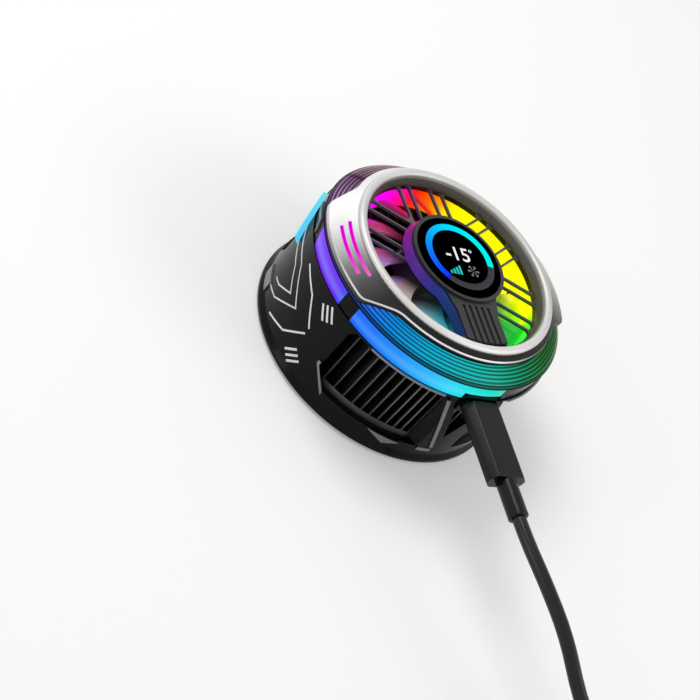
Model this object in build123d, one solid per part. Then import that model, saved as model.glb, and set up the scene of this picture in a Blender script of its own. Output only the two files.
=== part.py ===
from build123d import *
import math
import os

# Phone cooling fan, in millimetres. The fan's axis is Z, the cold face lies at zero height,
# the power socket looks towards -Y and the left wing of the bezel points to -X.

# Clearances shared by several pieces
fit_gap = 0.1
seat_gap = 0.05
running_gap = 0.3
overrun = 1.0

# Round case
case_radius = 30.5
case_wall = 1.4
flange_lip = 0.8
flange_height = 0.7
flange_edge = 0.5
cover_lift = 0.3
cover_skin = 0.7
cover_height = 2.3
ledge_width = 1.6

# Cold side, from the phone upwards
pad_setback = 0.5
pad_height = 0.5
plate_setback = 10.5
plate_rim = 1.2
plate_rim_height = 0.9
plate_height = 1.5
module_side_share = 1.3
module_height = 3.2
magnet_wall = 1.2
magnet_setback = 1.4
magnet_height = 1.6
shunt_height = 0.4
magnet_count = 16
magnet_joint = 0.3

# Heat sink
sink_setback = 0.5
sink_base_height = 1.6
fin_height = 15.8
fin_pitch = 1.8
fin_thickness = 0.45
screw_radius = 0.8
screw_head_radius = 1.4
screw_head_height = 0.6
screw_length = 5.0
fan_screw_inset = 1.6
boss_radius = 1.8
plate_screw_angles = (0, 90, 180, 270)
fan_screw_angles = (90, 210, 330)

# Vent windows in the drum wall, by angle and height
window_bottom = 5.5
window_top = 22.9
window_outer_angle = 210
window_bevel_angle = 218
window_bevel_height = 10.0
window_shoulder_angle = 213
window_shoulder_height = 20.8
window_inner_angle = 259
window_rear_angle = 259
post_width = 1.6

# Silver trim on the wall
trim_depth = 0.35
trim_width = 0.9
trim_line = 0.5
trim_bevel_angle = 208.6
trim_start_angle = 221
trim_end_angle = 256
bracket_height = 1.5
bracket_width = 3.6
sill_angles = (241, 256.5, 250)
sill_heights = (5.5, 5.1, 3.4)
rim_trim_angles = (148, 160.7, 164)
rim_trim_heights = (25.0, 25.9, 23.9)
side_plate_angles = (152, 163)
side_plate_height = 3.2

# Power socket
port_x = 1.25
port_height = 22.6
post_head = 6.0
collar_width = 9.9
collar_height = 4.8
collar_proud = 0.5
collar_depth = 4.5
socket_width = 8.5
socket_height = 2.6
socket_wall = 0.3
socket_depth = 6.9
tongue_width = 6.7
tongue_height = 0.7
tongue_length = 4.4
board_height = 0.8
port_board_width = 12.0
port_board_length = 9.5

# Light band, grooved ring and duct
band_step = 0.3
band_wall = 1.6
band_height = 4.0
band_start_angle = 164.3
band_slant_angle = 6.2
bridge_start_angle = 199
bridge_end_angle = 207
band_end_angle = 281
band_rim_width = 1.0
band_rim_height = 0.8
ring_edge_lip = 0.1
ring_edge_wall = 1.2
ring_mid_share = 0.571
ring_mid_height = 1.7
ring_inner_lap = 0.5
ring_inner_height = 2.8
ring_thickness = 1.2
groove_count = 5
groove_setback = 1.35
groove_margin = 0.67
groove_width = 0.3
groove_depth = 0.22
duct_step = 0.7
duct_wall = 1.1
fan_base_height = 0.8
light_board_height = 0.6
light_board_gap = 0.1
lamp_width = 1.6
lamp_depth = 1.0
lamp_height = 0.8
outer_lamp_count = 24
inner_lamp_count = 12
lamp_setback = 0.3

# Bezel
lip_setback = 5.6
lip_width = 2.1
lip_rise = 1.05
lip_foot = 0.65
bezel_thickness = 1.05
bezel_spigot_step = 0.9
cone_drop_share = 0.528
cone_height = 2.0
shoulder_rise = 0.05
plate_lap = 1.3
wing_setback = 0.1
left_wing_angles = (180, 25, 39.5)
right_wing_angles = (-3, 17, 26)
wing_corner_share = 0.75
wing_root_share = 2.0
frame_inset = 0.25
slit_width = 0.7
slit_shares = (0.45, 0.05)
slit_angles = ((169, 26), (166.5, 31.5))

# Grille
grille_height = 1.2
grille_hub_radius = 11.6
grille_sectors = 6
grille_phase_angle = 93
rib_width = 0.7
inner_rib_offset = 3.0
outer_rib_offset = 6.0
slot_fillet = 1.0
wedge_fillet = 1.3
arm_sector = 3
open_sector = 2
open_half_angle = 36

# Display pod and its arm
pod_radius = 11.6
pod_light_radius = 11.75
pod_wall_radius = 10.7
pod_wall = 0.8
pod_floor = 0.8
pod_light_height = 2.0
arm_light_width = 0.35
pod_rim_height = 0.9
glass_radius = 10.7
glass_height = 0.8
glass_proud = 0.3
glass_edge = 0.25
display_board_height = 0.6
display_board_radius = 9.4
panel_radius = 9.6
arm_half_width = 5.4
arm_flare = 1.5
arm_flare_start = 9.4
arm_flare_end = 14.5
arm_height = 2.4
arm_roof = 1.2
arm_side = 0.9
arm_groove_count = 5
arm_groove_width = 0.7
arm_groove_depth = 0.35
arm_groove_pitch = 1.65
arm_groove_start = 12.6
flex_width = 3.0
flex_thickness = 0.15

# Fan
blade_count = 11
blade_gap = 0.8
blade_thickness = 0.6
blade_camber = 0.7
blade_low = 1.2
blade_high = 4.9
rotor_radius = 11.2
rotor_wall = 1.0
rotor_roof = 0.9
rotor_skirt_gap = 0.6
yoke_thickness = 0.5
rotor_magnet_thickness = 1.1
rotor_magnet_height = 3.3
shaft_radius = 0.97
bearing_bore = 1.0
bearing_radius = 2.5
bearing_height = 2.0
bearing_inset = 0.3
tube_radius = 3.4
motor_board_radius = 7.8
motor_board_height = 0.5
stator_radius = 8.2
stator_hub_radius = 4.8
stator_teeth = 6
stator_tooth_width = 1.6
stator_shoe_angle = 44
stator_shoe_depth = 0.8
stator_height = 2.4
coil_width = 2.9
coil_overhang = 0.5
coil_clearance = 0.4
spoke_width = 2.4
fan_base_lap = 0.4
fan_base_rim = 2.0
blade_leads_angle = (0, 7, 20)
blade_chord_shares = (0.259, 0.2515, 0.2347)

# Rear light bar, by angle and height on the wall
bar_depth = 1.5
bar_width = 1.8
bar_start_angle = 143
bar_start_height = 24.9
bar_end_angle = 159.5
bar_end_height = 17.6

# Plug and lead
plug_shell_width = 8.25
plug_shell_height = 2.4
plug_shell_wall = 0.45
plug_insertion = 6.5
plug_width = 9.4
plug_height = 4.4
plug_chamfer = 1.5
plug_length = 18.4
plug_edge = 0.3
relief_radius = 1.85
relief_root_radius = 2.15
relief_length = 8.4
relief_groove_count = 3
relief_groove_depth = 0.2
relief_groove_width = 0.5
relief_groove_pitch = 1.4
cable_diameter = 3.0
cable_sides = 8

# Places of the lead from the strain relief's end on, chosen by hand from the photograph
lead_steps = (
    (0.0, -5.1, 0.0),
    (1.35, -14.6, -0.3),
    (3.35, -25.1, -1.8),
    (4.95, -35.6, -5.6),
    (8.65, -43.9, -8.6),
    (15.35, -51.3, -10.7),
)
lead_last_run = 5.8
bend_share = 0.45

# Coil of the length that isn't in use: four layers, wound from the outside of the top one
coil_side_step = 18.55
coil_distance = 66.1
coil_outer_radius = 22.8
coil_pitch = 4.25
coil_layer = 3.45
coil_half_turns = (6, 6, 6, 5)
coil_flat = 0.3

# Far end of the lead
far_run = 12.0
far_first_run = 11.6
far_turn_angle = 30
far_plug_width = 15.5
far_plug_height = 6.4
far_plug_length = 21.0
far_plug_edge = 1.2
far_neck_radius = 2.3
far_neck_length = 7.0
far_shell_width = 12.0
far_shell_height = 4.5
far_shell_length = 12.0
far_shell_wall = 0.35

# Heights and radii worked out from the sizes above
cover_top = cover_lift + cover_height
magnet_floor = cover_lift + cover_skin
plate_top = pad_height + plate_height
module_top = plate_top + module_height
sink_top = module_top + sink_base_height
fin_top = sink_top + fin_height
drum_top = fin_top + fan_base_height
band_top = drum_top + band_height
ring_top = band_top + ring_inner_height
grille_top = ring_top
grille_bottom = grille_top - grille_height
plate_seam = ring_top + cone_height
stator_bottom = drum_top + motor_board_height + coil_overhang
wall_inner = case_radius - case_wall
flange_radius = case_radius + flange_lip
trim_reach = case_radius + trim_depth + overrun
window_reach = wall_inner - ledge_width - overrun
sink_radius = wall_inner - sink_setback
plate_radius = case_radius - plate_setback
module_side = module_side_share * plate_radius
lip_outer = case_radius - lip_setback
lip_inner = lip_outer - lip_width
bezel_spigot_radius = lip_outer - bezel_spigot_step
duct_radius = lip_inner - duct_step
blade_radius = duct_radius - blade_gap
pad_radius = plate_radius - pad_setback
magnet_inner = plate_radius + plate_rim + magnet_wall
magnet_outer = wall_inner - magnet_setback
plate_screw_radius = (module_side / 2 + pad_radius) / 2
duct_outer = duct_radius + duct_wall
fan_base_inner = duct_radius - fan_base_lap
fan_base_outer = duct_outer + fan_base_rim
fan_screw_radius = fan_base_outer - fan_screw_inset
light_board_inner = duct_outer + 2 * fit_gap
band_radius = case_radius - band_step
band_inner = band_radius - band_wall
ring_edge_radius = band_radius + ring_edge_lip
ring_inner_radius = lip_outer + ring_inner_lap
ring_collar_radius = bezel_spigot_radius + fit_gap
ring_mid_radius = ring_inner_radius + ring_mid_share * (ring_edge_radius - ring_inner_radius)
groove_first_radius = ring_edge_radius - groove_setback
groove_pitch = (groove_first_radius - ring_inner_radius - groove_margin) / (groove_count - 1)
plate_edge = lip_outer + plate_lap
wing_radius = ring_edge_radius - wing_setback
wing_reach = wing_radius - plate_edge
wing_root_fillet = wing_root_share * wing_reach
wing_corner_fillet = wing_corner_share * wing_reach
collar_front = case_radius + collar_proud
collar_back = collar_front - collar_depth
port_board_front = wall_inner - 2 * fit_gap
socket_bottom = port_height - socket_height / 2 - socket_wall
collar_bottom = port_height - collar_height / 2
rotor_top = grille_bottom - running_gap
rotor_bottom = drum_top + rotor_skirt_gap
pod_rim_bottom = grille_top + pod_light_height
pod_rim_top = pod_rim_bottom + pod_rim_height
glass_top = pod_rim_top + glass_proud
glass_bottom = glass_top - glass_height
plug_front = collar_front + fit_gap
plug_back = plug_front + plug_length
relief_end = plug_back + relief_length
cable_radius = cable_diameter / 2
cable_apothem = cable_radius * math.cos(math.pi / cable_sides)
coil_bottom = cable_apothem - coil_flat
coil_top = coil_bottom + (len(coil_half_turns) - 1) * coil_layer
coil_centre_x = port_x + coil_side_step - coil_outer_radius
coil_centre_y = -relief_end - coil_distance
lead_start = (port_x, -relief_end, port_height)


def polar(radius, angle, height=0.0):
    """Point at a radius and an angle in degrees about the fan's axis."""
    turn = math.radians(angle)
    return Vector(radius * math.cos(turn), radius * math.sin(turn), height)


def turned(outline, start=0.0, sweep=360.0):
    """Solid of revolution of a face or of (radius, height) points, from start degrees on."""
    face = outline if isinstance(outline, Sketch) else make_face(Polyline(*outline, close=True))
    return Rot(0, 0, start) * revolve(Plane.XZ * face, Axis.Z, sweep)


def ring(inner, outer, bottom, top, start=0.0, sweep=360.0):
    """Plain ring, or part of one, of rectangular section."""
    return turned([(inner, bottom), (outer, bottom), (outer, top), (inner, top)], start, sweep)


def block(low, high):
    """Box between two opposite corners."""
    size = Vector(*high) - Vector(*low)
    corner = (Align.MIN, Align.MIN, Align.MIN)
    return Pos(*low) * Box(size.X, size.Y, size.Z, align=corner)


def around(shape, count, first=0.0):
    """Copies of a shape, evenly spaced about the fan's axis."""
    return [Rot(0, 0, first + 360 * index / count) * shape for index in range(count)]


def on_wall(angle, height, middle):
    """Place of an angle and height on the case wall, seen along the middle angle."""
    return (case_radius * math.sin(math.radians(angle - middle)), height)


def radial_prism(corners, middle, inner, outer):
    """Outline seen along one angle, pushed from the inner to the outer radius."""
    tangent = polar(1, middle + 90)
    outward = polar(1, middle)
    plane = Plane(origin=outward * inner, x_dir=tangent, z_dir=outward)
    return extrude(plane * make_face(Polyline(*corners, close=True)), outer - inner)


def port_prism(corners, inner, outer):
    """Outline about the socket's own centre, pushed towards -Y from the inner to the outer place."""
    plane = Plane(origin=(port_x, -inner, 0), x_dir=(1, 0, 0), z_dir=(0, -1, 0))
    return extrude(plane * make_face(Polyline(*corners, close=True)), outer - inner)


def port_solid(sketch, inner, outer):
    """Sketch centred on the socket, pushed towards -Y from the inner to the outer place."""
    plane = Plane(origin=(port_x, -inner, port_height), x_dir=(1, 0, 0), z_dir=(0, -1, 0))
    return extrude(plane * sketch, outer - inner)


def close_to(shape, points, reach):
    """Vertices of a flat shape that lie at the given points."""
    wanted = [Vector(*point) for point in points]
    return [v for v in shape.vertices() if any((v.center() - p).length < reach for p in wanted)]


def screws(places, top, direction=1):
    """Countersunk screws, their heads flush at the top height, shanks down or up."""
    cone = [
        (0, 0),
        (screw_head_radius, 0),
        (screw_radius, -screw_head_height),
        (screw_radius, -screw_length),
        (0, -screw_length),
    ]
    one = turned([(radius, height * direction) for radius, height in cone])
    return [Pos(place.X, place.Y, top) * one for place in places]


def plate_screw_places():
    """Axes of the screws under the cold plate."""
    return [polar(plate_screw_radius, angle) for angle in plate_screw_angles]


def fan_screw_places():
    """Axes of the screws in the fan's frame."""
    return [polar(fan_screw_radius, angle) for angle in fan_screw_angles]


def thermal_pad():
    """Soft pad that lies against the phone."""
    return ring(0, pad_radius, 0, pad_height)


def cold_plate():
    """Aluminium plate whose rim sits on the cover's ledge."""
    rim_bottom = plate_top - plate_rim_height
    rim_radius = plate_radius + plate_rim
    outline = [(0, pad_height), (plate_radius, pad_height), (plate_radius, rim_bottom)]
    outline += [(rim_radius, rim_bottom), (rim_radius, plate_top), (0, plate_top)]
    return turned(outline) - screws(plate_screw_places(), pad_height, -1)


def plate_screws():
    """Screws that clamp the module between the plate and the heat sink."""
    return Compound(children=screws(plate_screw_places(), pad_height, -1))


def base_cover():
    """Lower cover with the flange, a ledge for the plate, the magnet channel and the spigot."""
    hole = plate_radius + running_gap
    rim = plate_radius + plate_rim + fit_gap
    rim_bottom = plate_top - plate_rim_height
    channel_inner = magnet_inner - fit_gap
    channel_outer = magnet_outer + fit_gap
    magnets_top = magnet_floor + magnet_height + shunt_height
    spigot = wall_inner - fit_gap
    flange_top = cover_lift + flange_edge + flange_height
    outline = [
        (hole, cover_lift),
        (flange_radius - flange_edge, cover_lift),
        (flange_radius, cover_lift + flange_edge),
        (flange_radius, flange_top),
        (case_radius, cover_top),
        (spigot, cover_top),
        (spigot, module_top),
        (channel_outer, module_top),
        (channel_outer, magnet_floor),
        (channel_inner, magnet_floor),
        (channel_inner, magnets_top),
        (rim, magnets_top),
        (rim, rim_bottom),
        (hole, rim_bottom),
    ]
    return turned(outline)


def magnet_ring():
    """Arc magnets in the cover's channel."""
    gap = math.degrees(magnet_joint / magnet_outer)
    top = magnet_floor + magnet_height
    sweep = 360 / magnet_count - gap
    magnet = ring(magnet_inner, magnet_outer, magnet_floor, top, 0, sweep)
    return Compound(children=around(magnet, magnet_count))


def magnet_shunt():
    """Steel ring that closes the magnets' field on the heat sink's side."""
    bottom = magnet_floor + magnet_height
    return ring(magnet_inner, magnet_outer, bottom, bottom + shunt_height)


def peltier_module():
    """Thermoelectric module: two ceramic faces with the pellets between them."""
    face = module_height / 4
    square = module_side / 2
    low = block((-square, -square, plate_top), (square, square, plate_top + face))
    high = block((-square, -square, module_top - face), (square, square, module_top))
    core = square - face
    middle = block((-core, -core, plate_top + face), (core, core, module_top - face))
    return low + middle + high


def module_gasket():
    """Foam frame that keeps damp air away from the module."""
    outer = ring(0, pad_radius, plate_top, module_top)
    side = module_side / 2 + running_gap
    pocket = block((-side, -side, plate_top), (side, side, module_top))
    hole = Cylinder(boss_radius, 2 * module_height)
    holes = [Pos(p.X, p.Y, plate_top) * hole for p in plate_screw_places()]
    return outer - pocket - holes


def heat_sink():
    """Base disc with upright fins along Y, screw bosses and the room for the socket's board."""
    base = ring(0, sink_radius, module_top, sink_top)
    count = int((sink_radius - fin_thickness) / fin_pitch)
    upright = (Align.CENTER, Align.CENTER, Align.MIN)
    fins = []
    for index in range(2 * count + 1):
        place = (index - count) * fin_pitch
        far_side = abs(place) + fin_thickness / 2
        length = 2 * math.sqrt(sink_radius**2 - far_side**2)
        fins.append(Pos(place, 0, sink_top) * Box(fin_thickness, length, fin_height, align=upright))
    for place in fan_screw_places():
        fins.append(Pos(place.X, place.Y, sink_top) * Cylinder(boss_radius, fin_height, align=upright))
    half = port_board_width / 2 + running_gap
    inner = port_board_front - port_board_length - running_gap
    floor = socket_bottom - board_height - running_gap
    low = (port_x - half, -sink_radius - overrun, floor)
    room = block(low, (port_x + half, -inner, fin_top + overrun))
    holes = screws(plate_screw_places(), pad_height, -1) + screws(fan_screw_places(), drum_top)
    return base + fins - room - holes


def side_window(inner_angle, slanted):
    """One side vent on the -X side of the socket, its inner edge upright or along the slanted post."""
    middle = (window_outer_angle + inner_angle) / 2
    foot = 270 - math.degrees(post_width / case_radius)
    inner_foot = foot if slanted else inner_angle
    corners = [
        on_wall(window_bevel_angle, window_bottom, middle),
        on_wall(inner_foot, window_bottom, middle),
        on_wall(inner_angle, window_top, middle),
        on_wall(window_shoulder_angle, window_top, middle),
        on_wall(window_outer_angle, window_shoulder_height, middle),
        on_wall(window_outer_angle, window_bevel_height, middle),
    ]
    return radial_prism(corners, middle, window_reach, trim_reach)


def vee_window():
    """Three-cornered vent between the two slanted posts, under the socket's collar."""
    top = collar_bottom - post_width / 2
    rise = (window_top - window_bottom) / (post_head + post_width / 2)
    half = (top - window_bottom) / rise - post_width
    low = top - half * rise
    return port_prism([(-half, top), (0, low), (half, top)], window_reach, trim_reach)


def collar_box(gap):
    """Space of the socket's collar, grown by a gap."""
    half = collar_width / 2 + gap
    low = (port_x - half, -collar_front - overrun, collar_bottom - gap)
    high = (port_x + half, -collar_back + gap, collar_bottom + collar_height + gap)
    return block(low, high)


def across_port(shape):
    """Mirror image of a shape on the other side of the socket."""
    return mirror(shape, Plane.YZ.offset(port_x))


def drum_housing():
    """Drum with its vent windows and the inner ledge for the lamp board."""
    ledge_bottom = fin_top + light_board_gap
    ledge_inner = wall_inner - ledge_width
    outline = [
        (wall_inner, cover_top),
        (case_radius, cover_top),
        (case_radius, drum_top),
        (ledge_inner, drum_top),
        (ledge_inner, ledge_bottom),
        (wall_inner, ledge_bottom),
    ]
    front = side_window(window_inner_angle, True)
    rear = mirror(side_window(window_rear_angle, False), Plane.XZ)
    cuts = [front, across_port(front), vee_window(), rear, mirror(rear, Plane.YZ)]
    return turned(outline) - cuts - collar_box(seat_gap)


def window_trims():
    """Silver strips over the vents and on their bevels, and those of the left side alone."""
    middle = (window_outer_angle + window_inner_angle) / 2
    line_top = window_top + trim_line
    top_line = [
        on_wall(trim_start_angle, window_top, middle),
        on_wall(trim_end_angle, window_top, middle),
        on_wall(trim_end_angle, line_top, middle),
        on_wall(trim_start_angle, line_top, middle),
    ]
    step = trim_width
    bevel = [
        on_wall(window_bevel_angle, window_bottom, middle),
        on_wall(window_bevel_angle, window_bottom - step, middle),
        on_wall(trim_bevel_angle, window_bevel_height, middle),
        on_wall(trim_bevel_angle, window_bevel_height + step, middle),
        on_wall(window_outer_angle, window_bevel_height + step, middle),
        on_wall(window_outer_angle, window_bevel_height, middle),
    ]
    half = post_head + post_width / 2
    rise = (window_top - window_bottom) / half
    low = window_bottom + trim_line
    high = port_height - trim_line
    inner_low = (window_bottom - low) / rise - post_width / 2 + trim_width / 2
    inner_high = (window_bottom - high) / rise - post_width / 2 + trim_width / 2
    post = [
        (inner_low, low),
        (inner_low - trim_width, low),
        (inner_high - trim_width, high),
        (inner_high, high),
    ]
    bracket = [
        (inner_low, low - trim_line),
        (inner_low - bracket_width, low - trim_line),
        (inner_low - bracket_width, low - bracket_height),
        (inner_low, low - bracket_height),
    ]
    sill = [on_wall(angle, height, middle) for angle, height in zip(sill_angles, sill_heights)]
    skin = ring(case_radius, case_radius + trim_depth, cover_top, drum_top)
    reach = (window_reach, trim_reach)
    prisms = [radial_prism(top_line, middle, *reach), radial_prism(bevel, middle, *reach)]
    prisms += [across_port(prism) for prism in prisms]
    prisms += [port_prism(post, *reach), port_prism(bracket, *reach)]
    prisms.append(radial_prism(sill, middle, *reach))
    return Compound(children=[skin & prism for prism in prisms] + side_trims())


def side_trims():
    """Kinked strip on the ring's left side and the plate above the flange below it."""
    middle = rim_trim_angles[1]
    low = [on_wall(angle, height, middle) for angle, height in zip(rim_trim_angles, rim_trim_heights)]
    high = [(place, height + trim_width) for place, height in low]
    strip = radial_prism(low + high[::-1], middle, window_reach, trim_reach)
    skin = ring(band_radius, band_radius + trim_depth, drum_top, band_top)
    start, end = side_plate_angles
    plate_end = cover_top + side_plate_height
    plate = ring(case_radius, case_radius + trim_depth, cover_top, plate_end, start, end - start)
    return [skin & strip, plate]


def port_collar():
    """Surround of the socket, set in the drum's notch."""
    half = collar_height / 2
    frame = Rectangle(collar_width, collar_height)
    room = 2 * socket_wall + fit_gap
    opening = SlotOverall(socket_width + room, socket_height + room)
    edge = fillet(frame.vertices(), half / 4)
    return port_solid(edge - opening, collar_back, collar_front)


def usb_receptacle():
    """Steel shell of the socket, closed at its back."""
    outer = SlotOverall(socket_width + 2 * socket_wall, socket_height + 2 * socket_wall)
    inner = SlotOverall(socket_width, socket_height)
    back = collar_front - socket_depth
    shell = port_solid(outer - inner, back, collar_front)
    return shell + port_solid(outer, back - socket_wall, back)


def receptacle_tongue():
    """Contact tongue that stands in the socket."""
    back = collar_front - socket_depth
    return port_solid(Rectangle(tongue_width, tongue_height), back, back + tongue_length)


def port_circuit_board():
    """Small board under the socket."""
    half = port_board_width / 2
    low = (port_x - half, -collar_back + seat_gap, socket_bottom - board_height)
    back = port_board_length - (port_board_front - collar_back)
    high = (port_x + half, low[1] + back, socket_bottom)
    return block(low, high)


def band_spans():
    """Lit lengths of the band, the longer one notched over the socket's collar."""
    sweep = bridge_start_angle - band_start_angle
    violet = ring(band_inner, band_radius, drum_top, band_top, band_start_angle, sweep)
    sweep = band_end_angle - bridge_end_angle
    main = ring(band_inner, band_radius, drum_top, band_top, bridge_end_angle, sweep)
    corners = [
        on_wall(band_start_angle, band_top + overrun, band_start_angle),
        on_wall(band_start_angle, drum_top - overrun, band_start_angle),
        on_wall(band_start_angle + band_slant_angle, drum_top - overrun, band_start_angle),
    ]
    slant = radial_prism(corners, band_start_angle, window_reach, trim_reach)
    return [violet - slant, main - collar_box(seat_gap)]


def light_band():
    """Lit band round the drum's top, in two lengths."""
    return Compound(children=band_spans())


def band_housing():
    """Black remainder of that ring, with the bridge and an inner rim."""
    full = ring(band_inner, band_radius, drum_top, band_top)
    rim = ring(band_inner - band_rim_width, band_inner, band_top - band_rim_height, band_top)
    return (full - band_spans()) + rim - collar_box(seat_gap)


def light_circuit_board():
    """Ring board that carries the lamps, open where the socket passes."""
    board = ring(light_board_inner, band_inner - fit_gap, drum_top, drum_top + light_board_height)
    half = socket_width / 2 + 2 * socket_wall + fit_gap
    back = collar_front - socket_depth - 2 * socket_wall
    top = drum_top + 2 * light_board_height
    room = block((port_x - half, -case_radius, fin_top), (port_x + half, -back + seat_gap, top))
    return board - room - collar_box(seat_gap)


def light_emitters():
    """Lamps on the board: an outer row for the band and an inner row for the duct wall."""
    bottom = drum_top + light_board_height
    half = lamp_width / 2
    rows = (
        (band_inner - band_rim_width, outer_lamp_count),
        (light_board_inner + lamp_setback + lamp_depth, inner_lamp_count),
    )
    lamps = []
    for outer, count in rows:
        lamp = block((outer - lamp_depth, -half, bottom), (outer, half, bottom + lamp_height))
        for index in range(count):
            angle = 360 * (index + 0.5) / count
            if abs(angle - 270) > 180 / inner_lamp_count:
                lamps.append(Rot(0, 0, angle) * lamp)
    return Compound(children=lamps)


def dome(lift):
    """Arc of the grooved ring's outside, lifted by a height."""
    return ThreePointArc(
        (ring_edge_radius, band_top + lift),
        (ring_mid_radius, band_top + ring_mid_height + lift),
        (ring_inner_radius, ring_top + lift),
    )


def grooved_ring():
    """Smoked ring between the band and the bezel, its dome cut with concentric grooves."""
    inside = ring_edge_radius - ring_edge_wall - ring_thickness / 4
    floor = ring_top - ring_thickness
    under = Polyline(
        (ring_inner_radius, ring_top),
        (ring_collar_radius, ring_top),
        (ring_collar_radius, floor),
        (ring_inner_radius, floor),
        (ring_mid_radius - ring_thickness, band_top + ring_mid_height - ring_thickness),
        (inside, band_top),
        (ring_edge_radius, band_top),
    )
    body = turned(make_face(dome(0) + under))
    arc = dome(0)
    cuts = []
    for index in range(groove_count):
        radius = groove_first_radius - index * groove_pitch
        share = (ring_edge_radius - radius) / (ring_edge_radius - ring_inner_radius)
        height = (arc @ share).Y
        half = groove_width / 2
        bottom = height - groove_depth
        cuts.append(ring(radius - half, radius + half, bottom, height + groove_width))
    return body - cuts


def cone_height_at(radius):
    """Height of the bezel's outer cone at a radius."""
    return plate_seam - cone_drop_share * (radius - lip_outer)


def wing_outline(wing, inset):
    """One wing of the plate in plan, blended into the plate's round edge."""
    centre, outer_half, inner_half = wing
    reach = wing_radius - inset
    edge = plate_edge - inset
    root_a = polar(edge, centre - inner_half)
    root_b = polar(edge, centre + inner_half)
    tip_a = polar(reach, centre - outer_half)
    tip_b = polar(reach, centre + outer_half)
    sides = Polyline(tip_b, root_b, Vector(0, 0, 0), root_a, tip_a)
    return make_face(sides + ThreePointArc(tip_a, polar(reach, centre), tip_b))


def bezel_plan(inset=0.0):
    """Outline of the bezel plate with its two wings."""
    plan = Sketch() + Circle(plate_edge - inset)
    for wing in (left_wing_angles, right_wing_angles):
        centre, outer_half, inner_half = wing
        plan += wing_outline(wing, inset)
        reach = wing_radius - inset
        edge = plate_edge - inset
        roots = [polar(edge, centre - inner_half), polar(edge, centre + inner_half)]
        plan = fillet(close_to(plan, roots, fit_gap), wing_root_fillet)
        tips = [polar(reach, centre - outer_half), polar(reach, centre + outer_half)]
        plan = fillet(close_to(plan, tips, fit_gap), wing_corner_fillet)
    return plan


def slit_cuts():
    """Spaces of the two light slits in the left wing."""
    half = slit_width / 2
    top = plate_seam + overrun
    cuts = []
    for share, (start, sweep) in zip(slit_shares, slit_angles):
        radius = plate_edge + share * wing_reach
        cuts.append(ring(radius - half, radius + half, band_top, top, start, sweep))
    return cuts


def bezel_body():
    """Metal bezel before its slits: rolled lip, inner wall, cone and wings."""
    under_seam = plate_seam - bezel_thickness
    shoulder = plate_seam + shoulder_rise
    middle = (lip_outer + lip_inner) / 2
    lip = ThreePointArc((lip_outer, shoulder), (middle, shoulder + lip_rise), (lip_inner, shoulder))
    rest = Polyline(
        (lip_inner, shoulder),
        (duct_radius, grille_top + lip_foot),
        (duct_radius, grille_top),
        (bezel_spigot_radius, grille_top),
        (bezel_spigot_radius, under_seam),
        (lip_outer, under_seam),
        (wing_radius, cone_height_at(wing_radius) - bezel_thickness),
        (wing_radius, cone_height_at(wing_radius)),
        (lip_outer, plate_seam),
        (lip_outer, shoulder),
    )
    plan = extrude(bezel_plan(), plate_seam + 2 * lip_rise)
    return turned(make_face(lip + rest)) & plan


def bezel():
    """Metal bezel with the slits cut through its left wing."""
    return bezel_body() - slit_cuts()


def wing_lights():
    """Light guides that fill the slits, flush with the wing."""
    return Compound(children=[bezel_body() & cut for cut in slit_cuts()])


def bezel_frame():
    """Black frame between the grooved ring and the bezel, which shows as the wings' dark skirts."""
    lift = seat_gap
    under_seam = plate_seam - bezel_thickness
    edge_height = cone_height_at(ring_edge_radius) - bezel_thickness
    rest = Polyline(
        (ring_inner_radius, ring_top + lift),
        (ring_collar_radius, ring_top + lift),
        (ring_collar_radius, under_seam),
        (lip_outer, under_seam),
        (ring_edge_radius, edge_height),
        (ring_edge_radius, band_top + lift),
    )
    plan = extrude(bezel_plan(frame_inset), plate_seam + lip_rise)
    return turned(make_face(dome(lift) + rest)) & plan


def inner_light_ring():
    """Lit wall of the fan's duct."""
    return ring(duct_radius, duct_outer, drum_top, grille_bottom)


def grille_openings():
    """Openings of one grille sector in plan, about the X axis: a middle slot and two side slots."""
    annulus = Circle(duct_radius) - Circle(grille_hub_radius)
    half = rib_width / 2
    edges = (
        (-inner_rib_offset + half, inner_rib_offset - half),
        (inner_rib_offset + half, outer_rib_offset - half),
        (-outer_rib_offset + half, -inner_rib_offset - half),
    )
    slots = []
    for low, high in edges:
        strip = Pos(duct_radius / 2, (low + high) / 2) * Rectangle(duct_radius, high - low)
        slot = annulus & strip
        slots.append(fillet(slot.vertices(), slot_fillet))
    return slots


def grille_wedge():
    """Opening between two sectors in plan, about the line halfway between them."""
    half_angle = 180 / grille_sectors
    tip = (outer_rib_offset + rib_width / 2) / math.sin(math.radians(half_angle))
    side = polar(2 * duct_radius, half_angle)
    far_a = Vector(tip + side.X, side.Y)
    far_b = Vector(tip + side.X, -side.Y)
    wedge = make_face(Polyline((tip, 0), far_b, far_a, close=True)) & Circle(duct_radius)
    corner = close_to(wedge, [(tip, 0)], fit_gap)
    wedge = fillet(corner, wedge_fillet)
    outer = [v for v in wedge.vertices() if v.center().length > duct_radius - fit_gap]
    return fillet(outer, slot_fillet)


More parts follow.
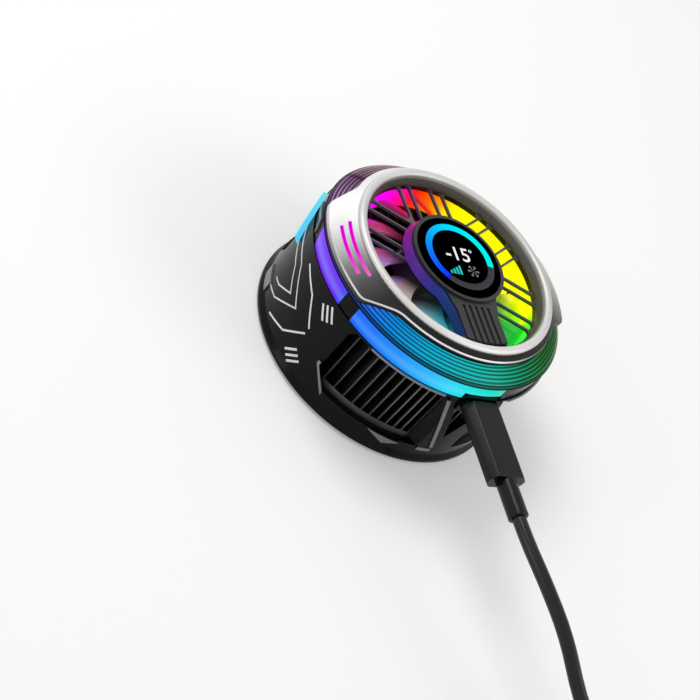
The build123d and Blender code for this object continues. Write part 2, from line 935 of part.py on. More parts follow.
def grille():
    """Fan guard: ring, hub and groups of parallel ribs, whole under the arm and open left of it."""
    disc = ring(0, bezel_spigot_radius, grille_bottom, grille_top)
    step = 360 / grille_sectors
    lift = Pos(0, 0, grille_bottom - overrun)
    height = grille_height + 2 * overrun
    wedge = lift * extrude(grille_wedge(), height)
    slots = [lift * extrude(slot, height) for slot in grille_openings()]
    cuts = []
    for index in range(grille_sectors):
        angle = grille_phase_angle + index * step
        cuts.append(Rot(0, 0, angle + step / 2) * wedge)
        if index == open_sector:
            bottom = grille_bottom - overrun
            sweep = 2 * open_half_angle
            bare = (grille_hub_radius, duct_radius, bottom, grille_top + overrun)
            cuts.append(ring(*bare, angle - open_half_angle, sweep))
        elif index != arm_sector:
            cuts += [Rot(0, 0, angle) * slot for slot in slots]
    return disc - cuts


def arm_plan(inset):
    """Outline of the arm in plan, flared where it meets the pod."""
    narrow = arm_half_width - inset
    wide = narrow + arm_flare
    reach = duct_radius + overrun
    corners = [
        (-narrow, -reach),
        (narrow, -reach),
        (narrow, -arm_flare_end),
        (wide, -arm_flare_start),
        (-wide, -arm_flare_start),
        (-narrow, -arm_flare_end),
    ]
    return make_face(Polyline(*corners, close=True)) & Circle(duct_radius - seat_gap)


def arm_solid(inset, bottom, top):
    """Arm between two heights."""
    return Pos(0, 0, bottom) * extrude(arm_plan(inset), top - bottom)


def display_pod():
    """Cup for the display and the grooved arm that carries it, hollow underneath."""
    cup = turned(
        [
            (0, grille_top),
            (pod_wall_radius, grille_top),
            (pod_wall_radius, pod_rim_bottom),
            (pod_radius, pod_rim_bottom),
            (pod_radius, pod_rim_top),
            (glass_radius + seat_gap, pod_rim_top),
            (glass_radius + seat_gap, glass_bottom),
            (pod_wall_radius - pod_wall, glass_bottom),
            (pod_wall_radius - pod_wall, grille_top + pod_floor),
            (0, grille_top + pod_floor),
        ]
    )
    arm_top = grille_top + arm_height
    bore = ring(0, pod_wall_radius - pod_wall / 2, grille_top, pod_rim_top)
    arm = arm_solid(0, grille_top, arm_top) - bore
    hollow = arm_solid(arm_side, grille_top, arm_top - arm_roof)
    hollow -= ring(0, pod_radius + arm_side, grille_top, arm_top)
    grooves = []
    for index in range(arm_groove_count):
        place = (index - (arm_groove_count - 1) / 2) * arm_groove_pitch
        half = arm_groove_width / 2
        low = (place - half, -duct_radius, arm_top - arm_groove_depth)
        grooves.append(block(low, (place + half, -arm_groove_start, arm_top + overrun)))
    slot_half = flex_width / 2 + fit_gap
    back = display_board_radius - overrun
    notch_low = (-slot_half, -pod_radius - arm_side - overrun, grille_top)
    notch = block(notch_low, (slot_half, -back, grille_top + pod_floor))
    return cup + (arm - hollow - grooves) - notch


def pod_light_ring():
    """Lit side of the pod and of its arm."""
    skirt = ring(pod_wall_radius, pod_light_radius, grille_top, pod_rim_bottom)
    flanks = arm_solid(-arm_light_width, grille_top, pod_rim_bottom)
    flanks -= ring(0, pod_wall_radius, grille_top, pod_rim_bottom)
    return skirt + flanks - arm_solid(0, grille_top, grille_top + arm_height)


def display_glass():
    """Round cover glass with a bevelled edge."""
    bevel = glass_radius - glass_edge
    outline = [(0, glass_bottom), (glass_radius, glass_bottom), (glass_radius, glass_top - glass_edge)]
    return turned(outline + [(bevel, glass_top), (0, glass_top)])


def display_panel():
    """Display under the glass."""
    return ring(0, panel_radius, grille_top + pod_floor + display_board_height, glass_bottom)


def display_circuit_board():
    """Board under the display."""
    bottom = grille_top + pod_floor
    return ring(0, display_board_radius, bottom, bottom + display_board_height)


def display_flex():
    """Flat ribbon from the display's board through the arm to the duct."""
    half = flex_width / 2
    inner = display_board_radius - overrun
    low = (-half, -duct_radius + overrun, grille_top)
    tail = block(low, (half, -inner - seat_gap, grille_top + flex_thickness))
    tab_low = (-half, -inner - seat_gap - flex_thickness, grille_top)
    tab = block(tab_low, (half, -inner - seat_gap, grille_top + pod_floor))
    return tail + tab


def fan_base():
    """Frame under the rotor: outer ring, three spokes, motor plate and bearing tube."""
    rim = ring(fan_base_inner, fan_base_outer, fin_top, drum_top)
    half = spoke_width / 2
    low = (motor_board_radius - overrun, -half, fin_top)
    spoke = block(low, (fan_base_inner + overrun / 2, half, drum_top))
    spokes = [Rot(0, 0, angle) * spoke for angle in fan_screw_angles]
    plate = ring(0, motor_board_radius + overrun / 2, fin_top, drum_top)
    tube_top = rotor_top - rotor_roof - running_gap
    tube = ring(0, tube_radius, fin_top, tube_top)
    bore = ring(0, bearing_radius, fin_top + bearing_inset, tube_top + overrun)
    port_half = socket_width / 2 + 2 * socket_wall + fit_gap
    inner = collar_front - socket_depth - 2 * socket_wall
    low = (port_x - port_half, -case_radius, fin_top - overrun)
    room = block(low, (port_x + port_half, -inner, drum_top + overrun))
    return rim + spokes + plate + tube - bore - screws(fan_screw_places(), drum_top) - room


def fan_screws():
    """Screws that hold the fan's frame on the heat sink."""
    return Compound(children=screws(fan_screw_places(), drum_top))


def fan_bearings():
    """Two ball bearings in the tube, one at each end."""
    low = fin_top + bearing_inset
    high = rotor_top - rotor_roof - running_gap - bearing_height
    rings = [ring(bearing_bore, bearing_radius, z, z + bearing_height) for z in (low, high)]
    return Compound(children=rings)


def motor_circuit_board():
    """Round board under the stator."""
    return ring(tube_radius, motor_board_radius, drum_top, drum_top + motor_board_height)


def stator():
    """Laminated core: hub, teeth and curved shoes."""
    top = stator_bottom + stator_height
    hub = ring(tube_radius, stator_hub_radius, stator_bottom, top)
    half = stator_tooth_width / 2
    inner = (tube_radius + stator_hub_radius) / 2
    tooth = block((inner, -half, stator_bottom), (stator_radius - stator_shoe_depth / 2, half, top))
    shoe_inner = stator_radius - stator_shoe_depth
    start = -stator_shoe_angle / 2
    shoe = ring(shoe_inner, stator_radius, stator_bottom, top, start, stator_shoe_angle)
    return hub + around(tooth, stator_teeth) + around(shoe, stator_teeth)


def stator_windings():
    """One copper coil round each tooth."""
    half = coil_width / 2
    inner = stator_hub_radius + coil_clearance
    outer = stator_radius - stator_shoe_depth - coil_clearance
    bottom = stator_bottom - coil_overhang
    top = stator_bottom + stator_height + coil_overhang
    bundle = block((inner, -half, bottom), (outer, half, top))
    hole = stator_tooth_width / 2
    room = block((inner, -hole, stator_bottom), (outer, hole, stator_bottom + stator_height))
    return Compound(children=around(bundle - room, stator_teeth))


def blade_section(radius, lead, half_chord):
    """Curved section of a blade, across the given radius and turned ahead by an angle."""
    low = drum_top + blade_low
    high = drum_top + blade_high
    middle = (low + high) / 2 + blade_camber
    thick = blade_thickness
    plane = Plane(origin=polar(radius, lead), x_dir=polar(1, lead + 90), z_dir=polar(1, lead))
    upper = ThreePointArc((-half_chord, low), (0, middle), (half_chord, high))
    lower = ThreePointArc((half_chord, high - thick), (0, middle - thick), (-half_chord, low - thick))
    tip = Line((half_chord, high), (half_chord, high - thick))
    heel = Line((-half_chord, low - thick), (-half_chord, low))
    return plane * make_face(upper + tip + lower + heel)


def fan_rotor():
    """Hub cup with broad curved blades."""
    outline = [
        (shaft_radius, rotor_top - rotor_roof),
        (rotor_radius - rotor_wall, rotor_top - rotor_roof),
        (rotor_radius - rotor_wall, rotor_bottom),
        (rotor_radius, rotor_bottom),
        (rotor_radius, rotor_top),
        (shaft_radius, rotor_top),
    ]
    radii = (rotor_radius - rotor_wall / 2, (rotor_radius + blade_radius) / 2, blade_radius)
    sections = []
    for radius, lead, share in zip(radii, blade_leads_angle, blade_chord_shares):
        sections.append(blade_section(radius, lead, radius * share))
    tip = ring(0, blade_radius, drum_top, rotor_top)
    blade = loft(sections) & tip
    return turned(outline) + around(blade, blade_count)


def rotor_yoke():
    """Steel ring inside the hub."""
    outer = rotor_radius - rotor_wall
    return ring(outer - yoke_thickness, outer, rotor_bottom, rotor_top - rotor_roof)


def rotor_magnet():
    """Ring magnet inside the yoke."""
    outer = rotor_radius - rotor_wall - yoke_thickness
    top = rotor_top - rotor_roof
    return ring(outer - rotor_magnet_thickness, outer, top - rotor_magnet_height, top)


def fan_shaft():
    """Shaft pressed in the hub's roof and running in the bearings."""
    return ring(0, shaft_radius, fin_top + bearing_inset + seat_gap, rotor_top)


def rear_light_bar():
    """Lit bar that falls round the drum's far left side."""
    middle = (bar_start_angle + bar_end_angle) / 2
    half = bar_width / 2
    corners = [
        on_wall(bar_start_angle, bar_start_height - half, middle),
        on_wall(bar_start_angle, bar_start_height + half, middle),
        on_wall(bar_end_angle, bar_end_height + half, middle),
        on_wall(bar_end_angle, bar_end_height - half, middle),
    ]
    skin = ring(case_radius, case_radius + bar_depth, cover_top, ring_top)
    reach = case_radius + bar_depth + overrun
    return skin & radial_prism(corners, middle, wall_inner - overrun, reach)


def plug_shell():
    """Steel shell of the plug, open towards the socket."""
    outer = SlotOverall(plug_shell_width, plug_shell_height)
    wall = plug_shell_wall
    inner = SlotOverall(plug_shell_width - 2 * wall, plug_shell_height - 2 * wall)
    tip = collar_front - plug_insertion
    return port_solid(outer, tip, plug_front) - port_solid(inner, tip, collar_front - overrun)


def plug_overmold():
    """Moulded grip of the plug with chamfered long edges."""
    outline = chamfer(Rectangle(plug_width, plug_height).vertices(), plug_chamfer)
    body = port_solid(outline, plug_front, plug_back)
    ends = body.faces().sort_by(Axis.Y)
    return chamfer(ends[-1].edges(), plug_edge)


def strain_relief():
    """Tapered sleeve behind the plug with shallow flexing grooves."""
    upright = (Align.CENTER, Align.CENTER, Align.MIN)
    cone = Cone(relief_root_radius, relief_radius, relief_length, align=upright)
    sleeve = Plane(origin=(port_x, -plug_back, port_height), z_dir=(0, -1, 0)) * cone
    notch = Circle(relief_root_radius + overrun) - Circle(relief_radius - relief_groove_depth)
    cuts = []
    for index in range(relief_groove_count):
        start = relief_end - relief_groove_pitch * (index + 1)
        cuts.append(port_solid(notch, start, start + relief_groove_width))
    return sleeve - cuts


def lead_radii(points):
    """Largest bend radius at each inner point of a lead's route."""
    radii = []
    for before, here, after in zip(points, points[1:], points[2:]):
        turn = math.radians((here - before).get_angle(after - here))
        shorter = min((here - before).length, (after - here).length)
        radii.append(bend_share * shorter / math.tan(turn / 2))
    return radii


def lead_tube(points, name):
    """Tube of the lead along straight runs joined by tangent arcs."""
    radii = lead_radii(points)
    path = FilletPolyline(*points, radius=radii)
    section = Plane(origin=path @ 0, z_dir=path % 0) * RegularPolygon(cable_radius, cable_sides)
    tube = sweep(section, path)
    expected = section.area * path.length
    print(name, "radii", [round(radius, 1) for radius in radii], "length", round(path.length, 1))
    print(name, "volume", round(tube.volume, 1), "section times length", round(expected, 1))
    return tube, path.length


def above_floor(shape):
    """Part of a shape above the surface that the fan stands on."""
    wide = 2 * (coil_distance + relief_end + coil_outer_radius)
    return shape & block((-wide, -wide, 0), (wide, wide, wide))


def cable():
    """Lead from the strain relief to the top of the coil."""
    start = Vector(*lead_start)
    end = Vector(coil_centre_x + coil_outer_radius, coil_centre_y + cable_diameter, coil_top)
    points = [start] + [start + Vector(*step) for step in lead_steps]
    points += [end + Vector(0, lead_last_run, 0), end]
    return lead_tube(points, "cable")


def half_turn(start, end, heading):
    """Half turn from start to end as two quarter arcs, leaving along Y and coming back against it."""
    reach = (end - start).length / 2
    first = start + Vector(0, heading * reach, 0)
    last = end + Vector(0, heading * reach, 0)
    middle = (first + last) / 2
    into = TangentArc(start, middle, tangent=(0, heading, 0))
    out = TangentArc(middle, end, tangent=into % 1)
    return [into, out]


def coil_path():
    """Edges of the coil's mirror image about the origin, from its top outer turn down."""
    side = -1
    radius = coil_outer_radius
    height = coil_top
    grow = -coil_pitch / 2
    start = Vector(-coil_outer_radius, cable_diameter, coil_top)
    here = start - Vector(0, cable_diameter, 0)
    edges = [Line(start, here)]
    for layer, count in enumerate(coil_half_turns):
        steps = [grow] * count
        drops = [0] * count
        if layer < len(coil_half_turns) - 1:
            steps.append(0)
            drops.append(coil_layer)
        for step, drop in zip(steps, drops):
            side = -side
            radius += step
            height -= drop
            there = Vector(side * radius, 0, height)
            edges += half_turn(here, there, -side)
            here = there
        grow = -grow
    end = here + Vector(0, side * cable_diameter, 0)
    edges.append(Line(here, end))
    return edges, end


def coil_gap(edges):
    """Least distance between two places of the coil that are half a turn or more apart."""
    places = []
    run = 0.0
    for edge in edges:
        steps = 12
        for index in range(steps):
            places.append((run + edge.length * index / steps, edge @ (index / steps)))
        run += edge.length
    least = math.inf
    apart = coil_outer_radius
    for index, (run_a, point_a) in enumerate(places):
        for run_b, point_b in places[index + 1 :]:
            if run_b - run_a > apart:
                least = min(least, (point_a - point_b).length)
    return least - cable_diameter


def cable_coil():
    """The spare length as one unbroken tube in four layers."""
    edges, end = coil_path()
    wire = Wire(edges)
    section = Plane(origin=wire @ 0, z_dir=(0, -1, 0)) * RegularPolygon(cable_radius, cable_sides)
    tube = sweep(section, wire)
    expected = section.area * wire.length
    print("cable_coil length", round(wire.length, 1), "least gap", round(coil_gap(edges), 3))
    print("cable_coil volume", round(tube.volume, 1), "section times length", round(expected, 1))
    coil = Pos(coil_centre_x, coil_centre_y, 0) * mirror(above_floor(tube), Plane.YZ)
    far_end = Vector(coil_centre_x - end.X, coil_centre_y + end.Y, end.Z)
    return coil, wire.length, far_end


def far_points(start):
    """Points of the lead from the coil round to the far plug, in even turns."""
    points = [start]
    heading = 270
    runs = (far_first_run, far_run, far_run, far_run)
    rise = far_plug_height / 2 - start.Z
    heights = (0, rise / 2, rise, rise)
    here = start
    for run, lift in zip(runs, heights):
        here = here + polar(run, heading)
        points.append(Vector(here.X, here.Y, start.Z + lift))
        heading -= far_turn_angle
    return points


def far_solid(sketch, start, near, far):
    """Sketch centred on the far plug's axis, pushed along -X between two places."""
    plane = Plane(origin=(start.X - near, start.Y, start.Z), x_dir=(0, -1, 0), z_dir=(-1, 0, 0))
    return extrude(plane * sketch, far - near)


def far_plug_overmold(start):
    """Moulded grip of the far plug with its neck."""
    outline = fillet(Rectangle(far_plug_width, far_plug_height).vertices(), far_plug_edge)
    grip_end = far_neck_length + far_plug_length
    neck = far_solid(Circle(far_neck_radius), start, 0, far_neck_length)
    return neck + far_solid(outline, start, far_neck_length, grip_end)


def far_plug_shell(start):
    """Steel shell of the far plug with its contact tongue."""
    wall = far_shell_wall
    near = far_neck_length + far_plug_length
    far = near + far_shell_length
    room = far_shell_width - 2 * wall
    outer = Rectangle(far_shell_width, far_shell_height)
    inner = Rectangle(room, far_shell_height - 2 * wall)
    shell = far_solid(outer - inner, start, near, far) + far_solid(outer, start, near, near + wall)
    tongue_half = far_shell_height / 4
    tongue = Pos(0, far_shell_height / 2 - wall - tongue_half) * Rectangle(room, 2 * tongue_half)
    return shell + far_solid(tongue, start, near, far - overrun)


def build():
    """All pieces by name."""
    lead, lead_length = cable()
    coil, coil_length, coil_end = cable_coil()
    tail_points = far_points(coil_end)
    tail, tail_length = lead_tube(tail_points, "cable_end")
    print("cord length", round(lead_length + coil_length + tail_length, 1))
    far_start = tail_points[-1]
    makers = (
        thermal_pad,
        cold_plate,
        plate_screws,
        base_cover,
        magnet_ring,
        magnet_shunt,
        peltier_module,
        module_gasket,
        heat_sink,
        drum_housing,
        window_trims,
        port_collar,
        usb_receptacle,
        receptacle_tongue,
        port_circuit_board,
        light_band,
        band_housing,
        light_circuit_board,
        light_emitters,
        grooved_ring,
        bezel,
        wing_lights,
        bezel_frame,
        inner_light_ring,
        grille,
        display_pod,
        pod_light_ring,
        display_glass,
        display_panel,
        display_circuit_board,
        display_flex,
        fan_base,
        fan_screws,
        fan_bearings,
        motor_circuit_board,
        stator,
        stator_windings,
        fan_rotor,
        rotor_yoke,
        rotor_magnet,
        fan_shaft,
        rear_light_bar,
        plug_shell,
        plug_overmold,
        strain_relief,
    )
    pieces = {maker.__name__: maker() for maker in makers}
    pieces["cable"] = lead
    pieces["cable_coil"] = coil
    pieces["cable_end"] = above_floor(tail)
    pieces["far_plug_overmold"] = far_plug_overmold(far_start)
    pieces["far_plug_shell"] = far_plug_shell(far_start)
    return pieces


os.makedirs("parts", exist_ok=True)
for name, piece in build().items():
    export_step(piece, f"parts/{name}.step")
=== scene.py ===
"""Looks of a round phone cooling fan: lit band, fan under a guard, round display and power lead.

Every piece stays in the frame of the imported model. Z runs up the fan's axis, the cold face
lies at height zero and the socket faces -Y. Sizes here are in millimetres until a mesh is
finished, and are scaled to metres then.
"""

import logging
import math
from collections.abc import Callable
from dataclasses import dataclass, field
from enum import Enum

import bmesh
import bpy
from bmesh.types import BMEdge, BMesh, BMFace, BMVert
from bpy.types import Material, Node, NodeSocket, NodeTree, Object
from mathutils import Matrix, Vector


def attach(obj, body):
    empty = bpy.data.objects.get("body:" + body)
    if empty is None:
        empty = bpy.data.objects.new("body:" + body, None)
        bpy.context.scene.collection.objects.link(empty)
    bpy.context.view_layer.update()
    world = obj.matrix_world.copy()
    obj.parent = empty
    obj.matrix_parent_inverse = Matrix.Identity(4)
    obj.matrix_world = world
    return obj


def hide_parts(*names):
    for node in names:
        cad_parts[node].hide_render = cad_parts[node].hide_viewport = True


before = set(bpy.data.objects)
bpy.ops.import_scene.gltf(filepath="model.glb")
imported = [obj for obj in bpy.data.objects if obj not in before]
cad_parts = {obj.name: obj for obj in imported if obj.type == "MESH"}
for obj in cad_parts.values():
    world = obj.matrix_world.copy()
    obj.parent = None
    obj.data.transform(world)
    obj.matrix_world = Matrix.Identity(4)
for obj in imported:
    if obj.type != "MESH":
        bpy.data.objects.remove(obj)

MM = 0.001
LOG = logging.getLogger("cooler")
# Mark of the rounded faces that take a painted edge highlight.
EDGE_HIGHLIGHT_MARK = "painted_edge_highlight"
FULL_TURN = 2 * math.pi
ORIGIN = Vector((0.0, 0.0, 0.0))
UP = Vector((0.0, 0.0, 1.0))
MERGE_DISTANCE = 0.0005
DISPLAY_RADIUS = 9.0
FLAT_ANGLE = math.radians(1.0)
SHARP_ANGLE = math.radians(25.0)
CREASE_ANGLE = math.radians(35.0)

Stops = tuple[tuple[float, str], ...]
Point = tuple[float, float, float]
Colour = tuple[float, float, float, float]


class Body(Enum):
    """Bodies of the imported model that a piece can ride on."""

    COOLER = "cooler"
    LEAD = "cable"


class Measure(Enum):
    """Places on a ring-shaped part that a colour can follow."""

    TURN = "Turn"
    RADIUS = "Radius"
    HEIGHT = "Height"


def linear(code: str, share: float = 1.0) -> Colour:
    """Linear colour of a six-digit code.

    Args:
        code: Red, green and blue as six hexadecimal digits.
        share: Factor on the linear values.

    Returns:
        The colour with full alpha.
    """
    parts = [int(code[index : index + 2], 16) / 255 for index in (0, 2, 4)]
    values = [part / 12.92 if part <= 0.04045 else ((part + 0.055) / 1.055) ** 2.4 for part in parts]
    return (values[0] * share, values[1] * share, values[2] * share, 1.0)


def grey(tone: float) -> Colour:
    """Linear grey with full alpha."""
    return (tone, tone, tone, 1.0)


class Shade:
    """Builder that lays nodes in one tree."""

    def __init__(self, tree: NodeTree) -> None:
        """Keeps the tree that the nodes go into."""
        self.tree = tree

    def feed(self, socket: NodeSocket, value: object) -> None:
        """Links a socket to another, or sets its value.

        Args:
            socket: Input to feed.
            value: Output socket of another node, or a plain value.
        """
        if isinstance(value, NodeSocket):
            self.tree.links.new(value, socket)
        else:
            socket.default_value = value

    def node(self, kind: str, inputs: dict | None = None, **settings: object) -> Node:
        """Adds a node.

        Args:
            kind: Blender's name of the node type.
            inputs: Values or sockets by input name or number.
            **settings: Properties of the node.

        Returns:
            The new node.
        """
        made = self.tree.nodes.new(kind)
        for name, value in settings.items():
            setattr(made, name, value)
        for key, value in (inputs or {}).items():
            self.feed(made.inputs[key], value)
        return made

    def math(self, operation: str, first: object, second: object = 0.0, third: object = 0.0) -> NodeSocket:
        """Adds a Math node and returns its output."""
        inputs = {0: first, 1: second, 2: third}
        return self.node("ShaderNodeMath", inputs, operation=operation).outputs[0]

    def span(
        self, value: object, low: float, high: float, to_low: float = 0.0, to_high: float = 1.0
    ) -> NodeSocket:
        """Maps a value from one range to another, clamped.

        Args:
            value: Socket to map.
            low: Start of the range it comes from.
            high: End of that range.
            to_low: Result at the start.
            to_high: Result at the end.

        Returns:
            The mapped value.
        """
        inputs = {0: value, 1: low, 2: high, 3: to_low, 4: to_high}
        return self.node("ShaderNodeMapRange", inputs).outputs[0]

    def ramp(self, factor: object, stops: list[tuple[float, Colour]]) -> NodeSocket:
        """Adds a colour ramp.

        Args:
            factor: Place along the ramp.
            stops: Places from 0 to 1 with their colours.

        Returns:
            The colour.
        """
        made = self.node("ShaderNodeValToRGB", {0: factor})
        elements = made.color_ramp.elements
        for index, (place, colour) in enumerate(stops):
            element = elements[index] if index < 2 else elements.new(place)
            element.position = place
            element.color = colour
        return made.outputs[0]

    def mix(self, factor: object, first: object, second: object, blend: str = "MIX") -> NodeSocket:
        """Mixes two colours and returns the result."""
        inputs = {0: factor, 6: first, 7: second}
        return self.node("ShaderNodeMix", inputs, data_type="RGBA", blend_type=blend).outputs[2]

    def background_rays(self) -> NodeSocket:
        """Adds a mask of the rays that show the background.

        Returns:
            The mask, which is 1 on those rays.
        """
        path = self.node("ShaderNodeLightPath").outputs
        seen = self.math("MAXIMUM", path["Is Camera Ray"], path["Is Glossy Ray"])
        return self.math("MAXIMUM", seen, path["Is Transmission Ray"])

    def group(self, tree: NodeTree, **inputs: object) -> Node:
        """Places a node group with its own values.

        Args:
            tree: The group's tree.
            **inputs: Values or sockets by socket name.

        Returns:
            The group node.
        """
        made = self.node("ShaderNodeGroup")
        made.node_tree = tree
        for name, value in inputs.items():
            self.feed(made.inputs[name], value)
        return made


class Effects:
    """Node groups that several finishes share, each built once.

    Attributes:
        broad_share: Scale of the flecks as a share of the grain's.
        fleck_range: Noise values between which the flecks fade in.
        mark_range: Noise values between which the marks of handling do.
    """

    broad_share: float = 0.13
    fleck_range: tuple[float, float] = (0.3, 0.7)
    mark_range: tuple[float, float] = (0.45, 0.75)

    def __init__(self) -> None:
        """Builds the groups."""
        self.place = self._place()
        self.grain = self._grain()
        self.handling = self._handling()
        self.brushing = self._brushing()

    @staticmethod
    def _tree(
        name: str, inputs: tuple[tuple[str, float], ...], outputs: tuple[str, ...]
    ) -> tuple[Shade, Node, Node]:
        """Starts a group with named float sockets.

        Args:
            name: Name of the group.
            inputs: Names and default values.
            outputs: Names.

        Returns:
            The builder, the group's input node and its output node.
        """
        tree = bpy.data.node_groups.new(name, "ShaderNodeTree")
        for label, value in inputs:
            socket = tree.interface.new_socket(name=label, in_out="INPUT", socket_type="NodeSocketFloat")
            socket.default_value = value
        for label in outputs:
            tree.interface.new_socket(name=label, in_out="OUTPUT", socket_type="NodeSocketFloat")
        shade = Shade(tree)
        return shade, shade.node("NodeGroupInput"), shade.node("NodeGroupOutput")

    def _place(self) -> NodeTree:
        """Turn in degrees, radius and height in millimetres about the fan's axis.

        Returns:
            The group's tree.
        """
        shade, _, out = self._tree("ring_place", (), ("Turn", "Radius", "Height"))
        point = shade.node("ShaderNodeTexCoord").outputs["Object"]
        parts = shade.node("ShaderNodeSeparateXYZ", {0: point}).outputs
        turn = shade.math("ARCTAN2", parts[1], parts[0])
        turn = shade.math("FRACT", shade.math("DIVIDE", turn, FULL_TURN))
        square = shade.math("MULTIPLY", parts[0], parts[0])
        square = shade.math("MULTIPLY_ADD", parts[1], parts[1], square)
        shade.feed(out.inputs["Turn"], shade.math("MULTIPLY", turn, 360.0))
        shade.feed(out.inputs["Radius"], shade.math("DIVIDE", shade.math("SQRT", square), MM))
        shade.feed(out.inputs["Height"], shade.math("DIVIDE", parts[2], MM))
        return shade.tree

    def _grain(self) -> NodeTree:
        """Fine moulded or blasted grain, as a height and as flecks.

        Returns:
            The group's tree.
        """
        inputs = (("Scale", 900.0), ("Depth", 0.5))
        shade, source, out = self._tree("fine_grain", inputs, ("Height", "Fleck"))
        point = shade.node("ShaderNodeTexCoord").outputs["Object"]
        fine = shade.node(
            "ShaderNodeTexNoise", {"Vector": point, "Scale": source.outputs["Scale"], "Detail": 3.0}
        )
        broad_scale = shade.math("MULTIPLY", source.outputs["Scale"], self.broad_share)
        broad = shade.node("ShaderNodeTexNoise", {"Vector": point, "Scale": broad_scale, "Detail": 2.0})
        shade.feed(out.inputs["Height"], shade.math("MULTIPLY", fine.outputs[0], source.outputs["Depth"]))
        shade.feed(out.inputs["Fleck"], shade.span(broad.outputs[0], *self.fleck_range))
        return shade.tree

    def _handling(self) -> NodeTree:
        """Faint marks of fingers and cloth, as a change of roughness.

        Returns:
            The group's tree.
        """
        shade, source, out = self._tree("handling", (("Scale", 60.0), ("Amount", 0.1)), ("Dull",))
        point = shade.node("ShaderNodeTexCoord").outputs["Object"]
        inputs = {"Vector": point, "Scale": source.outputs["Scale"], "Detail": 4.0, "Distortion": 0.8}
        marks = shade.node("ShaderNodeTexNoise", inputs)
        mask = shade.span(marks.outputs[0], *self.mark_range)
        shade.feed(out.inputs["Dull"], shade.math("MULTIPLY", mask, source.outputs["Amount"]))
        return shade.tree

    def _brushing(self) -> NodeTree:
        """Fine lines turned round the fan's axis, as a height.

        Returns:
            The group's tree.
        """
        shade, source, out = self._tree("turned_lines", (("Pitch", 0.12), ("Depth", 0.3)), ("Height",))
        place = shade.group(self.place)
        lines = shade.math("DIVIDE", place.outputs["Radius"], source.outputs["Pitch"])
        noise = shade.node(
            "ShaderNodeTexNoise", {"W": lines, "Scale": 1.0, "Detail": 2.0}, noise_dimensions="1D"
        )
        shade.feed(out.inputs["Height"], shade.math("MULTIPLY", noise.outputs[0], source.outputs["Depth"]))
        return shade.tree


EFFECTS = Effects()


@dataclass(frozen=True)
class Fade:
    """Colours that follow one measure round the parts.

    Attributes:
        measure: What the colours follow.
        stops: Places in degrees or millimetres with their colour codes.
    """

    measure: Measure
    stops: Stops

    def colour(self, shade: Shade, share: float = 1.0) -> NodeSocket:
        """Colour at each place.

        Args:
            shade: Builder of the material's tree.
            share: Factor on every colour.

        Returns:
            The colour socket.
        """
        low, high = self.stops[0][0], self.stops[-1][0]
        place = shade.group(EFFECTS.place).outputs[self.measure.value]
        stops = [((at - low) / (high - low), linear(code, share)) for at, code in self.stops]
        return shade.ramp(shade.span(place, low, high), stops)


@dataclass(frozen=True)
class Finish:
    """Moulded, coated or metal surface with its grain and the marks of handling.

    Attributes:
        name: Name of the material.
        colour: Colour code of the surface.
        roughness: Roughness where it is clean.
        metallic: 1 for bare metal.
        specular: Level of the plain reflection.
        coat: Weight of a clear coat.
        grain: Scale of the grain.
        depth: Depth of the grain in millimetres.
        mottle: How far the flecks leave the colour.
        dull: How much handling adds to the roughness.
        bump: Strength of the relief.
    """

    name: str
    colour: str
    roughness: float = 0.4
    metallic: float = 0.0
    specular: float = 0.5
    coat: float = 0.0
    grain: float = 900.0
    depth: float = 0.01
    mottle: float = 0.12
    dull: float = 0.1
    bump: float = 0.6

    def paint(self, shade: Shade) -> NodeSocket:
        """Colour of the surface before its flecks.

        Args:
            shade: Builder of the material's tree.

        Returns:
            The colour socket.
        """
        tone = shade.node("ShaderNodeRGB")
        tone.outputs[0].default_value = linear(self.colour)
        return tone.outputs[0]

    def relief(self, shade: Shade, grain: Node) -> NodeSocket:
        """Height that the bump follows."""
        return grain.outputs["Height"]

    def glow(self, shade: Shade, shader: Node) -> None:
        """Leaves an unlit surface dark."""

    def material(self) -> Material:
        """Makes the material once.

        Returns:
            The material, the same one from then on.
        """
        known = bpy.data.materials.get("look_" + self.name)
        if known:
            return known
        made = bpy.data.materials.new("look_" + self.name)
        made.use_nodes = True
        made.node_tree.nodes.clear()
        shade = Shade(made.node_tree)
        shader = shade.node("ShaderNodeBsdfPrincipled")
        shader.inputs["Metallic"].default_value = self.metallic
        shader.inputs["Specular IOR Level"].default_value = self.specular
        shader.inputs["Coat Weight"].default_value = self.coat
        grain = shade.group(EFFECTS.grain, Scale=self.grain, Depth=1.0)
        fleck = shade.span(grain.outputs["Fleck"], 0.0, 1.0, 1.0 - self.mottle, 1.0 + self.mottle)
        shade.feed(shader.inputs["Base Color"], shade.mix(1.0, self.paint(shade), fleck, "MULTIPLY"))
        dull = shade.group(EFFECTS.handling, Amount=self.dull).outputs["Dull"]
        shade.feed(shader.inputs["Roughness"], shade.math("ADD", dull, self.roughness))
        bump = shade.node("ShaderNodeBump", {"Height": self.relief(shade, grain)})
        bump.inputs["Strength"].default_value = self.bump
        bump.inputs["Distance"].default_value = self.depth * MM
        shade.feed(shader.inputs["Normal"], bump.outputs[0])
        self.glow(shade, shader)
        out = shade.node("ShaderNodeOutputMaterial")
        shade.feed(out.inputs[0], shader.outputs[0])
        return made


